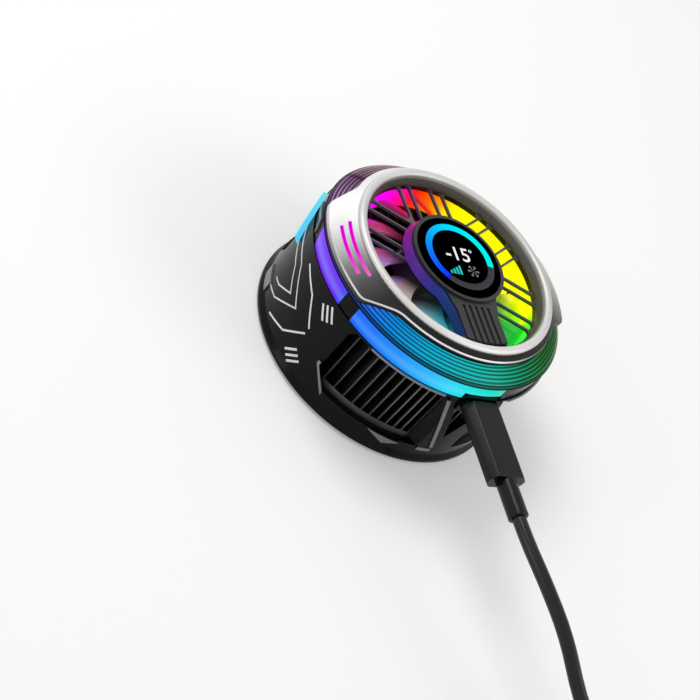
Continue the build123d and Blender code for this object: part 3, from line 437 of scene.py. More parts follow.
@dataclass(frozen=True)
class FadedFinish(Finish):
    """Surface whose colour, with painted light and shade in it, changes round the part.

    Attributes:
        fade: Its colours, which hold the painted light.
        painted_glow: Strength of the painted glow.
        reach: Painted shade that the colours are multiplied by.
    """

    fade: Fade | None = None
    painted_glow: float = 0.0
    reach: Fade | None = None

    def paint(self, shade: Shade) -> NodeSocket:
        """Colour at each place round the part, with its painted light and shade."""
        tone = self.fade.colour(shade)
        return shade.mix(1.0, tone, self.reach.colour(shade), "MULTIPLY") if self.reach else tone

    def glow(self, shade: Shade, shader: Node) -> None:
        """Adds the painted glow."""
        shader.inputs["Emission Strength"].default_value = self.painted_glow
        shade.feed(shader.inputs["Emission Color"], self.paint(shade))


@dataclass(frozen=True)
class FloorFinish(Finish):
    """Matt floor that the camera and mirrors see paler than it is lit.

    Attributes:
        lift: Strength of the tone that makes it paler.
    """

    lift: float = 0.2

    def glow(self, shade: Shade, shader: Node) -> None:
        """Adds a pale tone for the rays that show the background."""
        strength = shade.math("MULTIPLY", shade.background_rays(), self.lift)
        shade.feed(shader.inputs["Emission Strength"], strength)


@dataclass(frozen=True)
class BrushedFinish(Finish):
    """Metal with fine lines turned round the fan's axis.

    Attributes:
        pitch: Step from line to line.
    """

    pitch: float = 0.12

    def relief(self, shade: Shade, grain: Node) -> NodeSocket:
        """Turned lines over the grain."""
        lines = shade.group(EFFECTS.brushing, Pitch=self.pitch, Depth=1.0)
        return shade.math("ADD", lines.outputs["Height"], grain.outputs["Height"])


@dataclass(frozen=True)
class BezelFinish(BrushedFinish):
    """Bezel metal with painted reflections: a bright lip, and a plate painted from silver to black round its
    turn.

    Attributes:
        plate: Painted reflection on the plate, as colours round its turn.
        lip_reflection: Painted reflection on the lip, as colours round its turn.
        edge: Colours of the painted highlight on the plate's rounded outline, round its turn.
        wall_shade: Colour of the painted shade on the lip's inner wall.
        wall_range: Radii between which the wall goes over into the lip.
        plate_range: Radii between which the lip goes over into the plate.
    """

    plate: Fade | None = None
    lip_reflection: Fade | None = None
    edge: Fade | None = None
    # The lip's inner wall is painted darker, as shade.
    wall_shade: str = "5c5c5c"
    wall_range: tuple[float, float] = (22.65, 23.0)
    plate_range: tuple[float, float] = (24.8, 24.9)

    def paint(self, shade: Shade) -> NodeSocket:
        """Plate and lip with their painted reflections, the inner wall's painted shade, and the painted
        highlight on the outline.
        """
        # The rounded outline takes a painted highlight.
        highlight_mask = shade.node("ShaderNodeAttribute", attribute_name=EDGE_HIGHLIGHT_MARK).outputs["Fac"]
        return shade.mix(highlight_mask, self.body(shade), self.edge.colour(shade))

    def body(self, shade: Shade) -> NodeSocket:
        """Plate and lip with their painted reflections, and the inner wall's painted shade, by radius.

        Args:
            shade: Builder of the material's tree.

        Returns:
            The colour socket.
        """
        radius = shade.group(EFFECTS.place).outputs["Radius"]
        on_plate = shade.span(radius, *self.plate_range)
        on_lip = shade.span(radius, *self.wall_range)
        # The lip and the plate take their painted reflections.
        top = shade.mix(on_plate, self.lip_reflection.colour(shade), self.plate.colour(shade))
        # The lip's inner wall takes its painted shade.
        return shade.mix(on_lip, linear(self.wall_shade), top)


@dataclass(frozen=True)
class EdgedFinish(Finish):
    """Surface of another colour beyond a radius, such as fins with lighter outer edges.

    Attributes:
        edge_colour: Colour code beyond the radius.
        edge_radius: Radius where that colour is full.
        edge_blend: Width over which the colours meet.
    """

    edge_colour: str = "77777a"
    edge_radius: float = 28.5
    edge_blend: float = 0.08

    def paint(self, shade: Shade) -> NodeSocket:
        """One colour inside, the other beyond the radius.

        Args:
            shade: Builder of the material's tree.

        Returns:
            The colour socket.
        """
        radius = shade.group(EFFECTS.place).outputs["Radius"]
        mask = shade.span(radius, self.edge_radius - self.edge_blend, self.edge_radius)
        return shade.mix(mask, linear(self.colour), linear(self.edge_colour))


@dataclass(frozen=True)
class LitFinish(Finish):
    """Diffuser lit from behind.

    Attributes:
        fade: Colours of the light round the part.
        strength: Strength of the light.
        tone: Share of the colour that stays when it is unlit.
        veil: Share of light lost in the cloudier patches.
        rise: Tones laid over the light by height.
        cloud: Scale of the cloudier patches.
    """

    fade: Fade | None = None
    strength: float = 1.0
    tone: float = 0.25
    veil: float = 0.06
    rise: Fade | None = None
    cloud: float = 260.0

    def paint(self, shade: Shade) -> NodeSocket:
        """Dim colour of the diffuser itself."""
        return self.fade.colour(shade, self.tone)

    def glow(self, shade: Shade, shader: Node) -> None:
        """Feeds the light's colour to the shader.

        Args:
            shade: Builder of the material's tree.
            shader: Shader that takes the light.
        """
        shader.inputs["Emission Strength"].default_value = self.strength
        light = self.fade.colour(shade)
        cloud = shade.group(EFFECTS.grain, Scale=self.cloud, Depth=1.0).outputs["Fleck"]
        light = shade.mix(1.0, light, shade.span(cloud, 0.0, 1.0, 1.0 - self.veil, 1.0), "MULTIPLY")
        if self.rise:
            light = shade.mix(1.0, light, self.rise.colour(shade), "SCREEN")
        shade.feed(shader.inputs["Emission Color"], light)


@dataclass(frozen=True)
class RibbedLitFinish(LitFinish):
    """Smoked diffuser with painted highlights and painted shade along its concentric grooves.

    Attributes:
        first: Radius of the outermost line.
        pitch: Step from line to line.
        count: Number of lines.
        profile: Brightness of the painted highlight and shade across one groove, by its share of the pitch.
        rim: Radius beyond which the edge is black.
        plain: Brightness outside the lines.
    """

    first: float = 29.67
    pitch: float = 0.72
    count: int = 6
    profile: tuple[tuple[float, float], ...] = (
        (0.0, 0.26), (0.3, 0.2), (0.4, 0.03), (0.58, 0.05), (0.68, 1.0), (0.8, 1.0), (0.9, 0.3), (1.0, 0.26),
    )
    rim: float = 30.12
    plain: float = 0.2

    def paint(self, shade: Shade) -> NodeSocket:
        """Dim colour with the same painted highlights and shade."""
        return self.painted_groove_shading(shade, self.fade.colour(shade, self.tone))

    def glow(self, shade: Shade, shader: Node) -> None:
        """Adds a painted highlight and a painted shade line at each groove.

        Args:
            shade: Builder of the material's tree.
            shader: Shader that takes the light.
        """
        super().glow(shade, shader)
        light = shader.inputs["Emission Color"].links[0].from_socket
        shade.feed(shader.inputs["Emission Color"], self.painted_groove_shading(shade, light))

    def painted_groove_shading(self, shade: Shade, light: NodeSocket) -> NodeSocket:
        """Lays the painted groove highlights and shade, and the black rim, over a colour.

        Args:
            shade: Builder of the material's tree.
            light: Colour that takes the lines.

        Returns:
            The lined colour.
        """
        radius = shade.group(EFFECTS.place).outputs["Radius"]
        outer = self.first + self.pitch / 2
        inner = outer - self.count * self.pitch
        steps = shade.math("DIVIDE", shade.math("SUBTRACT", outer, radius), self.pitch)
        # Bright and dark lines across each groove: painted highlight and painted shade.
        groove_highlight_and_shade = shade.ramp(shade.math("FRACT", steps), [(place, grey(tone)) for place, tone in self.profile])
        past_inner = shade.math("GREATER_THAN", radius, inner)
        inside = shade.math("MULTIPLY", past_inner, shade.math("LESS_THAN", radius, outer))
        lines = shade.mix(inside, grey(self.plain), groove_highlight_and_shade)
        lines = shade.mix(shade.math("GREATER_THAN", radius, self.rim), lines, grey(0.0))
        return shade.mix(1.0, light, lines, "MULTIPLY")


BAND_LIGHT = Fade(
    Measure.TURN,
    (
        (0.0, "00c0a0"), (90.0, "20a0ff"), (150.0, "8a30ff"), (167.0, "842cff"), (180.0, "7820f8"),
        (196.0, "6418f0"), (199.5, "1850ff"), (218.0, "0c70ff"), (230.0, "128cff"), (243.0, "24b0ff"),
        (256.0, "24dcf8"), (266.0, "10e4dc"), (281.0, "00dcb4"), (360.0, "00c0a0"),
    ),
)
RING_LIGHT = Fade(
    Measure.TURN,
    (
        (0.0, "8a9a30"), (60.0, "d0b8a0"), (95.0, "d8bcc0"), (118.0, "c8a0ac"), (126.0, "a880a0"),
        (127.3, "70085c"), (129.0, "801870"), (130.5, "a878a8"), (143.0, "b888bc"), (157.0, "a880b4"),
        (170.0, "9060c0"), (185.0, "6850e0"), (200.0, "3868ff"), (212.0, "1c7cf4"), (222.0, "1090e0"),
        (240.0, "14b0d4"), (256.0, "1cbcc0"), (274.0, "1cbca4"), (294.0, "149860"), (314.0, "149424"),
        (332.0, "107c10"), (360.0, "8a9a30"),
    ),
)
DUCT_LIGHT = Fade(
    Measure.TURN,
    (
        (0.0, "ffff00"), (60.0, "ffff00"), (67.0, "fff000"), (72.0, "ffa800"), (79.0, "ff7000"),
        (87.0, "ff3c00"), (92.0, "ff1428"), (97.0, "ff1078"), (104.0, "ff08b8"), (116.0, "ff00ff"),
        (150.0, "f000ff"), (175.0, "9020ff"), (205.0, "3040ff"), (235.0, "0090ff"), (262.0, "00d8c8"),
        (300.0, "20e060"), (328.0, "38ff20"), (334.0, "a0ff10"), (340.0, "ffff00"), (360.0, "ffff00"),
    ),
)
# Painted light of the duct's lamps on the pod's side and the arm's flanks, round the turn.
POD_DUCT_LIGHT_PAINTED = Fade(
    Measure.TURN,
    (
        (0.0, "c8d818"), (45.0, "e8a020"), (90.0, "f04048"), (130.0, "d028a0"), (155.0, "a02cb4"),
        (170.0, "8a2eb2"), (186.0, "6c2eb0"), (204.0, "5a34b0"), (222.0, "3a3cac"), (238.0, "2446a8"),
        (250.0, "104288"), (262.0, "0c3a70"), (280.0, "0c7048"), (300.0, "30c838"), (360.0, "c8d818"),
    ),
)
# Painted reflection on the bezel's metal plate and wings: silver on one side of the turn, black on the
# other.
BEZEL_PLATE_REFLECTION = Fade(
    Measure.TURN,
    (
        (0.0, "b4b4ae"), (20.0, "d4d4d2"), (60.0, "e8e8e8"), (130.0, "e8e8e6"), (152.0, "e6e6e4"),
        (164.0, "ccccca"), (176.0, "a0a09e"), (188.0, "727270"), (199.0, "424242"), (210.0, "202022"),
        (240.0, "0e0e10"), (300.0, "0e0e10"), (322.0, "1a1a1a"), (334.0, "3c3c38"), (346.0, "84847c"),
        (360.0, "b4b4ae"),
    ),
)
# Painted reflection on the bezel's lip, lighter and darker round its turn.
BEZEL_LIP_REFLECTION = Fade(
    Measure.TURN,
    (
        (0.0, "c0c0be"), (60.0, "d4d4d2"), (120.0, "dededc"), (160.0, "c8c8c6"), (200.0, "cecdca"),
        (250.0, "eae8e6"), (310.0, "dcdad8"), (360.0, "c0c0be"),
    ),
)
# Painted highlight along the bezel plate's outline, bright or dark round its turn.
BEZEL_EDGE_HIGHLIGHT = Fade(
    Measure.TURN,
    (
        (0.0, "888884"), (60.0, "b0b0b0"), (140.0, "e6e6e4"), (166.0, "dcdcda"), (184.0, "b4b4b0"),
        (205.0, "d4d4d0"), (235.0, "f4f4f2"), (275.0, "f0f0ee"), (300.0, "707070"), (330.0, "303030"),
        (360.0, "888884"),
    ),
)
# Painted light of the duct's lamps on the fan blades, round the turn; it is painted on the rotor, so it
# turns with it.
BLADE_PAINTED_LAMP_LIGHT = Fade(
    Measure.TURN,
    (
        (0.0, "f4f400"), (60.0, "f4f400"), (68.0, "f0e000"), (75.0, "f09000"), (84.0, "e04000"),
        (94.0, "c01040"), (106.0, "901058"), (125.0, "88204c"), (145.0, "a03860"), (163.0, "b04a78"),
        (178.0, "9458a0"), (190.0, "a080b4"), (204.0, "ac8c90"), (216.0, "a09c8c"), (228.0, "7ca4a8"),
        (242.0, "48a0b0"), (262.0, "188898"), (290.0, "18784c"), (322.0, "20c020"), (336.0, "a0e010"),
        (344.0, "f0f000"), (360.0, "f4f400"),
    ),
)
# Painted shade on the fan blades towards the hub.
BLADE_PAINTED_HUB_SHADE = Fade(
    Measure.RADIUS,
    ((11.2, "303030"), (13.0, "808080"), (15.0, "c8c8c8"), (17.0, "f4f4f4"), (21.5, "ffffff")),
)
BAND_RISE = Fade(
    Measure.HEIGHT,
    (
        (23.4, "080c10"), (24.0, "182c38"), (24.6, "3c6070"), (25.3, "406474"), (26.2, "203c48"),
        (27.4, "182830"),
    ),
)
BAR_LIGHT = Fade(Measure.TURN, ((142.0, "84f8f0"), (150.0, "68e0fc"), (160.0, "54c8ff")))
SLIT_LIGHT = Fade(Measure.TURN, ((166.0, "e400e4"), (184.0, "ec10d4"), (198.0, "f468c4")))
GAUGE_LIGHT = Fade(
    Measure.TURN,
    (
        (0.0, "00f8f0"), (60.0, "00f4fc"), (100.0, "04d8ff"), (140.0, "10acff"), (180.0, "0c7cff"),
        (215.0, "1048ff"), (231.0, "1030ff"), (300.0, "1030ff"), (349.0, "00f8e8"), (360.0, "00f8f0"),
    ),
)


def printed(name: str, start: str, end: str, inner: float = 0.0, roughness: float = 0.4) -> LitFinish:
    """Finish of a lit mark on the display.

    Args:
        name: Name of the material.
        start: Colour code at the inner radius.
        end: Colour code at the display's edge.
        inner: The inner radius.
        roughness: Roughness of the mark.

    Returns:
        The finish.
    """
    fade = Fade(Measure.RADIUS, ((inner, start), (DISPLAY_RADIUS, end)))
    return LitFinish(name, "ffffff", roughness, fade=fade, tone=0.0, specular=0.0)


class Finishes:
    """Finishes of the cooler's pieces and of the marks on its display."""

    case_black = Finish("case_black", "050506", 0.16, specular=0.12, grain=700.0, depth=0.004, dull=0.1)
    pad_rubber = Finish("pad_rubber", "6e7276", 0.75, specular=0.3, depth=0.03)
    cold_metal = BrushedFinish("cold_metal", "c2c4c6", 0.28, 1.0, depth=0.006)
    screw_steel = BrushedFinish("screw_steel", "8c8c8e", 0.32, 1.0)
    magnet_nickel = Finish("magnet_nickel", "a0a0a0", 0.25, 1.0)
    steel = Finish("steel", "b0b2b4", 0.25, 1.0)
    ceramic = Finish("ceramic", "e8e6e0", 0.5)
    foam = Finish("foam", "202022", 0.9, depth=0.08, grain=1600.0)
    fins = EdgedFinish("fins", "060607", 0.38, 0.6, depth=0.01)
    trim_silver = Finish("trim_silver", "808286", 0.32, 1.0, depth=0.004)
    connector_steel = Finish("connector_steel", "b4b5b6", 0.22, 1.0, depth=0.003)
    contact_plastic = Finish("contact_plastic", "141416", 0.5)
    board = Finish("board", "0e3a22", 0.45, coat=0.3)
    lamp = Finish("lamp", "f4f2e4", 0.4)
    band = LitFinish(
        "band", "ffffff", 0.2, fade=BAND_LIGHT, strength=1.0, tone=0.02, specular=0.05, rise=BAND_RISE
    )
    # Lit ring whose grooves carry painted highlights and painted shade.
    ring = RibbedLitFinish("ring", "ffffff", 0.22, fade=RING_LIGHT, strength=1.0, tone=0.05, specular=0.05)
    bar = LitFinish("bar", "ffffff", 0.25, fade=BAR_LIGHT, strength=0.95, tone=0.06, specular=0.1)
    slit = LitFinish("slit", "ffffff", 0.3, fade=SLIT_LIGHT, strength=1.0, tone=0.0, specular=0.0)
    duct = LitFinish("duct", "ffffff", 0.35, fade=DUCT_LIGHT, strength=1.0, tone=0.02, specular=0.1)
    # Skirt and arm flanks that glow with painted duct light.
    pod_painted_duct_light = LitFinish(
        "pod_painted_duct_light", "ffffff", 0.3, fade=POD_DUCT_LIGHT_PAINTED, strength=0.6, tone=0.1, specular=0.2, veil=0.45
    )
    # Bezel metal whose lip, plate, inner wall and outline carry painted reflection, painted shade and a
    # painted highlight.
    bezel = BezelFinish(
        "bezel", "c0c0c0", 0.5, 0.6, depth=0.003, mottle=0.03, plate=BEZEL_PLATE_REFLECTION, lip_reflection=BEZEL_LIP_REFLECTION,
        edge=BEZEL_EDGE_HIGHLIGHT,
    )
    grille = EdgedFinish("grille", "5c5c5f", 0.36, 0.6, depth=0.004, edge_colour="0c0c0d", edge_radius=22.08)
    pod = Finish("pod", "242426", 0.42, specular=0.4, depth=0.008)
    glass = Finish("glass", "000000", 0.05, specular=0.0, depth=0.0005, mottle=0.0, dull=0.02)
    display = Finish("display", "020204", 0.3)
    flex = Finish("flex", "a05818", 0.4)
    frame_black = Finish("frame_black", "0a0a0b", 0.5)
    copper = Finish("copper", "b05c28", 0.3, 1.0, grain=2400.0, depth=0.03)
    # Fan blades that glow with painted lamp light, with painted shade towards the hub.
    blade = FadedFinish(
        "blade", "ffffff", 0.16, fade=BLADE_PAINTED_LAMP_LIGHT, reach=BLADE_PAINTED_HUB_SHADE, painted_glow=0.7, coat=0.25, specular=0.3,
        mottle=0.3,
    )
    plug = Finish("plug", "050506", 0.22, specular=0.22, grain=1200.0, depth=0.004)
    cord = Finish("cord", "060607", 0.22, specular=0.35, grain=1500.0, depth=0.008)
    mark_white = printed("mark_white", "f8f8ff", "f0f4ff")
    mark_teal = printed("mark_teal", "30d8c8", "28c8b8")
    mark_grey = printed("mark_grey", "8c8c90", "7c7c80")
    gauge = LitFinish("gauge", "ffffff", 0.3, fade=GAUGE_LIGHT, tone=0.0, specular=0.0, veil=0.02)
    gauge_rest = printed("gauge_rest", "3a3a3e", "46464a", 7.0, 0.3)
    pinstripe = Finish("pinstripe", "e4e5e6", 0.34, 0.5, depth=0.003)


def dress(looks: dict[str, Finish]) -> None:
    """Gives CAD nodes the finishes that stand by their names."""
    for node, finish in looks.items():
        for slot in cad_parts[node].material_slots:
            slot.material = finish.material()
        LOG.info("dressed %s with %s", node, finish.name)


def lathe(
    bm: BMesh, profile: list[Point | Vector], steps: int, centre: Vector = ORIGIN, axis: Vector = UP,
    closed: bool = False,
) -> None:
    """Turns a profile once round an axis.

    Args:
        bm: Mesh that takes the shape.
        profile: Points of the profile.
        steps: Steps of the turn.
        centre: Point on the axis.
        axis: Direction of the axis.
        closed: Whether the profile's last point joins its first.
    """
    corners = [bm.verts.new(point) for point in profile]
    edges = [bm.edges.new(pair) for pair in zip(corners, corners[1:])]
    if closed:
        edges.append(bm.edges.new((corners[-1], corners[0])))
    bmesh.ops.spin(
        bm, geom=corners + edges, cent=centre, axis=axis, angle=FULL_TURN, steps=steps,
        use_merge=True, use_duplicate=False,
    )


def drawn_on(bm: BMesh, edge: BMEdge, ends: tuple[Vector, Vector]) -> tuple[BMEdge, list[BMFace]]:
    """Draws an edge on to new ends.

    Args:
        bm: Mesh that holds the edge.
        edge: The edge.
        ends: Its new ends, in the order of the old ones.

    Returns:
        The new edge and the faces between the two.
    """
    grown = bmesh.ops.extrude_edge_only(bm, edges=[edge])["geom"]
    fresh = [item for item in grown if isinstance(item, BMVert)]
    fresh.sort(key=lambda vert: vert.co.dot(ends[0] - ends[1]), reverse=True)
    fresh[0].co, fresh[1].co = ends
    edges = [item for item in grown if isinstance(item, BMEdge)]
    ahead = next(item for item in edges if all(vert in fresh for vert in item.verts))
    return ahead, [item for item in grown if isinstance(item, BMFace)]


def turned(bm: BMesh, verts: list[BMVert], angle: float) -> None:
    """Turns corners about the fan's axis by an angle in radians."""
    bmesh.ops.rotate(bm, cent=ORIGIN, matrix=Matrix.Rotation(angle, 3, "Z"), verts=verts)


def finished(bm: BMesh, name: str, finish: Finish, body: Body) -> Object:
    """Turns a mesh in millimetres into a piece of the object.

    Args:
        bm: The mesh, which is freed.
        name: Name of the piece.
        finish: Its finish.
        body: Body that it rides on.

    Returns:
        The piece.
    """
    bmesh.ops.remove_doubles(bm, verts=bm.verts, dist=MERGE_DISTANCE)
    bmesh.ops.recalc_face_normals(bm, faces=bm.faces)
    bmesh.ops.scale(bm, vec=Vector((MM, MM, MM)), verts=bm.verts)
    mesh = bpy.data.meshes.new(name)
    bm.to_mesh(mesh)
    bm.free()
    mesh.shade_smooth()
    mesh.set_sharp_from_angle(angle=CREASE_ANGLE)
    piece = bpy.data.objects.new(name, mesh)
    bpy.context.scene.collection.objects.link(piece)
    mesh.materials.append(finish.material())
    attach(piece, body.value)
    LOG.info("made %s with %d faces", name, len(mesh.polygons))
    return piece


def merged_copy(node: str) -> BMesh:
    """Copies the mesh of a CAD node and merges its doubled corners.

    Args:
        node: Name of the node.

    Returns:
        The mesh in millimetres.
    """
    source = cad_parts[node]
    bm = bmesh.new()
    bm.from_mesh(source.data)
    bmesh.ops.transform(bm, matrix=Matrix.Scale(1 / MM, 4) @ source.matrix_world, verts=bm.verts)
    bmesh.ops.remove_doubles(bm, verts=bm.verts, dist=MERGE_DISTANCE)
    return bm


def rounded(
    node: str, name: str, finish: Finish, body: Body, width: float,
    chosen: Callable[[BMEdge], bool],
) -> Object:
    """Replaces a CAD node by a copy with rounded edges, whose rounded faces are marked so that a finish can
    paint a highlight on them.

    Args:
        node: Name of the node.
        name: Name of the copy.
        finish: Its finish.
        body: Body that it rides on.
        width: Width of the rounding in millimetres.
        chosen: Tells which sharp edges are rounded.

    Returns:
        The copy.
    """
    bm = merged_copy(node)
    bmesh.ops.dissolve_limit(bm, angle_limit=FLAT_ANGLE, verts=bm.verts, edges=bm.edges)
    mark = bm.faces.layers.float.new(EDGE_HIGHLIGHT_MARK)
    sharp = [edge for edge in bm.edges if edge.is_manifold and edge.calc_face_angle() > SHARP_ANGLE]
    sharp = [edge for edge in sharp if chosen(edge)]
    made = bmesh.ops.bevel(
        bm, geom=sharp, offset=width, affect="EDGES", segments=2, profile=0.5, material=-1,
        clamp_overlap=True,
    )
    for face in made["faces"]:
        face[mark] = 1.0
    copy = finished(bm, name, finish, body)
    copy.modifiers.new("even_normals", "WEIGHTED_NORMAL").keep_sharp = True
    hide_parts(node)
    return copy


@dataclass
class Camera:
    """Camera at the photograph's viewing angle.

    Attributes:
        place: Where it stands, in millimetres.
        right: Direction of the picture's right.
        down: Direction of the picture's bottom.
        ahead: Direction that it looks in.
        lens: Focal length.
        sensor: Width of the sensor.
        clip: Nearest and farthest distance that it sees, in metres.
    """

    place: Vector = field(default_factory=lambda: Vector((-209.401, -187.129, 223.973)))
    right: Vector = field(default_factory=lambda: Vector((0.814237, -0.253933, 0.522050)))
    down: Vector = field(default_factory=lambda: Vector((0.112366, -0.813317, -0.570866)))
    ahead: Vector = field(default_factory=lambda: Vector((0.569554, 0.523481, -0.633700)))
    lens: float = 81.595
    sensor: float = 36.0
    clip: tuple[float, float] = (0.01, 20.0)

    def build(self) -> None:
        """Makes the camera and sets it as the scene's."""
        data = bpy.data.cameras.new("camera")
        data.lens = self.lens
        data.sensor_width = self.sensor
        data.clip_start, data.clip_end = self.clip
        camera = bpy.data.objects.new("camera", data)
        turn = Matrix((self.right, -self.down, -self.ahead)).transposed()
        camera.matrix_world = Matrix.Translation(self.place * MM) @ turn.to_4x4()
        bpy.context.scene.collection.objects.link(camera)
        bpy.context.scene.camera = camera
        LOG.info("camera placed")


@dataclass
class Lamp:
    """One soft rectangular lamp.

    Attributes:
        name: Its name.
        place: Where it hangs, in millimetres.
        aim: Point that it faces.
        width: Its width.
        height: Its height.
        power: Its power in watts.
    """

    name: str
    place: Point
    aim: Point
    width: float
    height: float
    power: float

    def build(self) -> None:
        """Hangs the lamp."""
        data = bpy.data.lights.new(self.name, "AREA")
        data.shape = "RECTANGLE"
        data.size = self.width * MM
        data.size_y = self.height * MM
        data.energy = self.power
        lamp = bpy.data.objects.new(self.name, data)
        lamp.location = Vector(self.place) * MM
        lamp.rotation_mode = "QUATERNION"
        lamp.rotation_quaternion = (Vector(self.aim) - Vector(self.place)).to_track_quat("-Z", "Y")
        bpy.context.scene.collection.objects.link(lamp)


@dataclass
class Studio:
    """Pale floor, pale surroundings and soft lamps.

    Attributes:
        floor_colour: Colour code of the floor.
        sky_colour: Colour code of the surroundings as the camera and gloss see them.
        sky_light: Strength of the surroundings as a light.
        floor_side: Side of the floor.
        lamps: The lamps.
    """

    floor_colour: str = "f4f4f3"
    sky_colour: str = "f2f3f4"
    sky_light: float = 0.42
    floor_side: float = 6000.0
    lamps: tuple[Lamp, ...] = (
        Lamp("key", (-260.0, 420.0, 620.0), (0.0, 0.0, 15.0), 420.0, 320.0, 2.6),
        Lamp("fill", (420.0, -380.0, 420.0), (0.0, 0.0, 15.0), 380.0, 300.0, 0.9),
        Lamp("side", (-620.0, 60.0, 170.0), (0.0, 0.0, 20.0), 160.0, 420.0, 0.35),
    )

    def floor(self) -> None:
        """Lays the floor, which looks a little paler than it lights the object."""
        bm = bmesh.new()
        bmesh.ops.create_grid(bm, x_segments=4, y_segments=4, size=self.floor_side * MM / 2)
        mesh = bpy.data.meshes.new("floor")
        bm.to_mesh(mesh)
        bm.free()
        floor = bpy.data.objects.new("floor", mesh)
        bpy.context.scene.collection.objects.link(floor)
        finish = FloorFinish(
            "floor", self.floor_colour, 0.8, specular=0.1, grain=40.0, depth=0.02, mottle=0.01, dull=0.0
        )
        mesh.materials.append(finish.material())

    def sky(self) -> None:
        """Surrounds the scene with a pale tone."""
        world = bpy.data.worlds.new("studio")
        bpy.context.scene.world = world
        world.use_nodes = True
        world.node_tree.nodes.clear()
        shade = Shade(world.node_tree)
        pale = shade.node("ShaderNodeBackground", {"Color": linear(self.sky_colour), "Strength": 1.0})
        light = shade.node("ShaderNodeBackground", {"Color": grey(1.0), "Strength": self.sky_light})
        both = shade.node(
            "ShaderNodeMixShader", {0: shade.background_rays(), 1: light.outputs[0], 2: pale.outputs[0]}
        )
        shade.feed(shade.node("ShaderNodeOutputWorld").inputs[0], both.outputs[0])

    def build(self) -> None:
        """Sets the stage and the view transform."""
        self.floor()
        self.sky()
        for lamp in self.lamps:
            lamp.build()
        bpy.context.scene.view_settings.view_transform = "Standard"
        LOG.info("studio set")


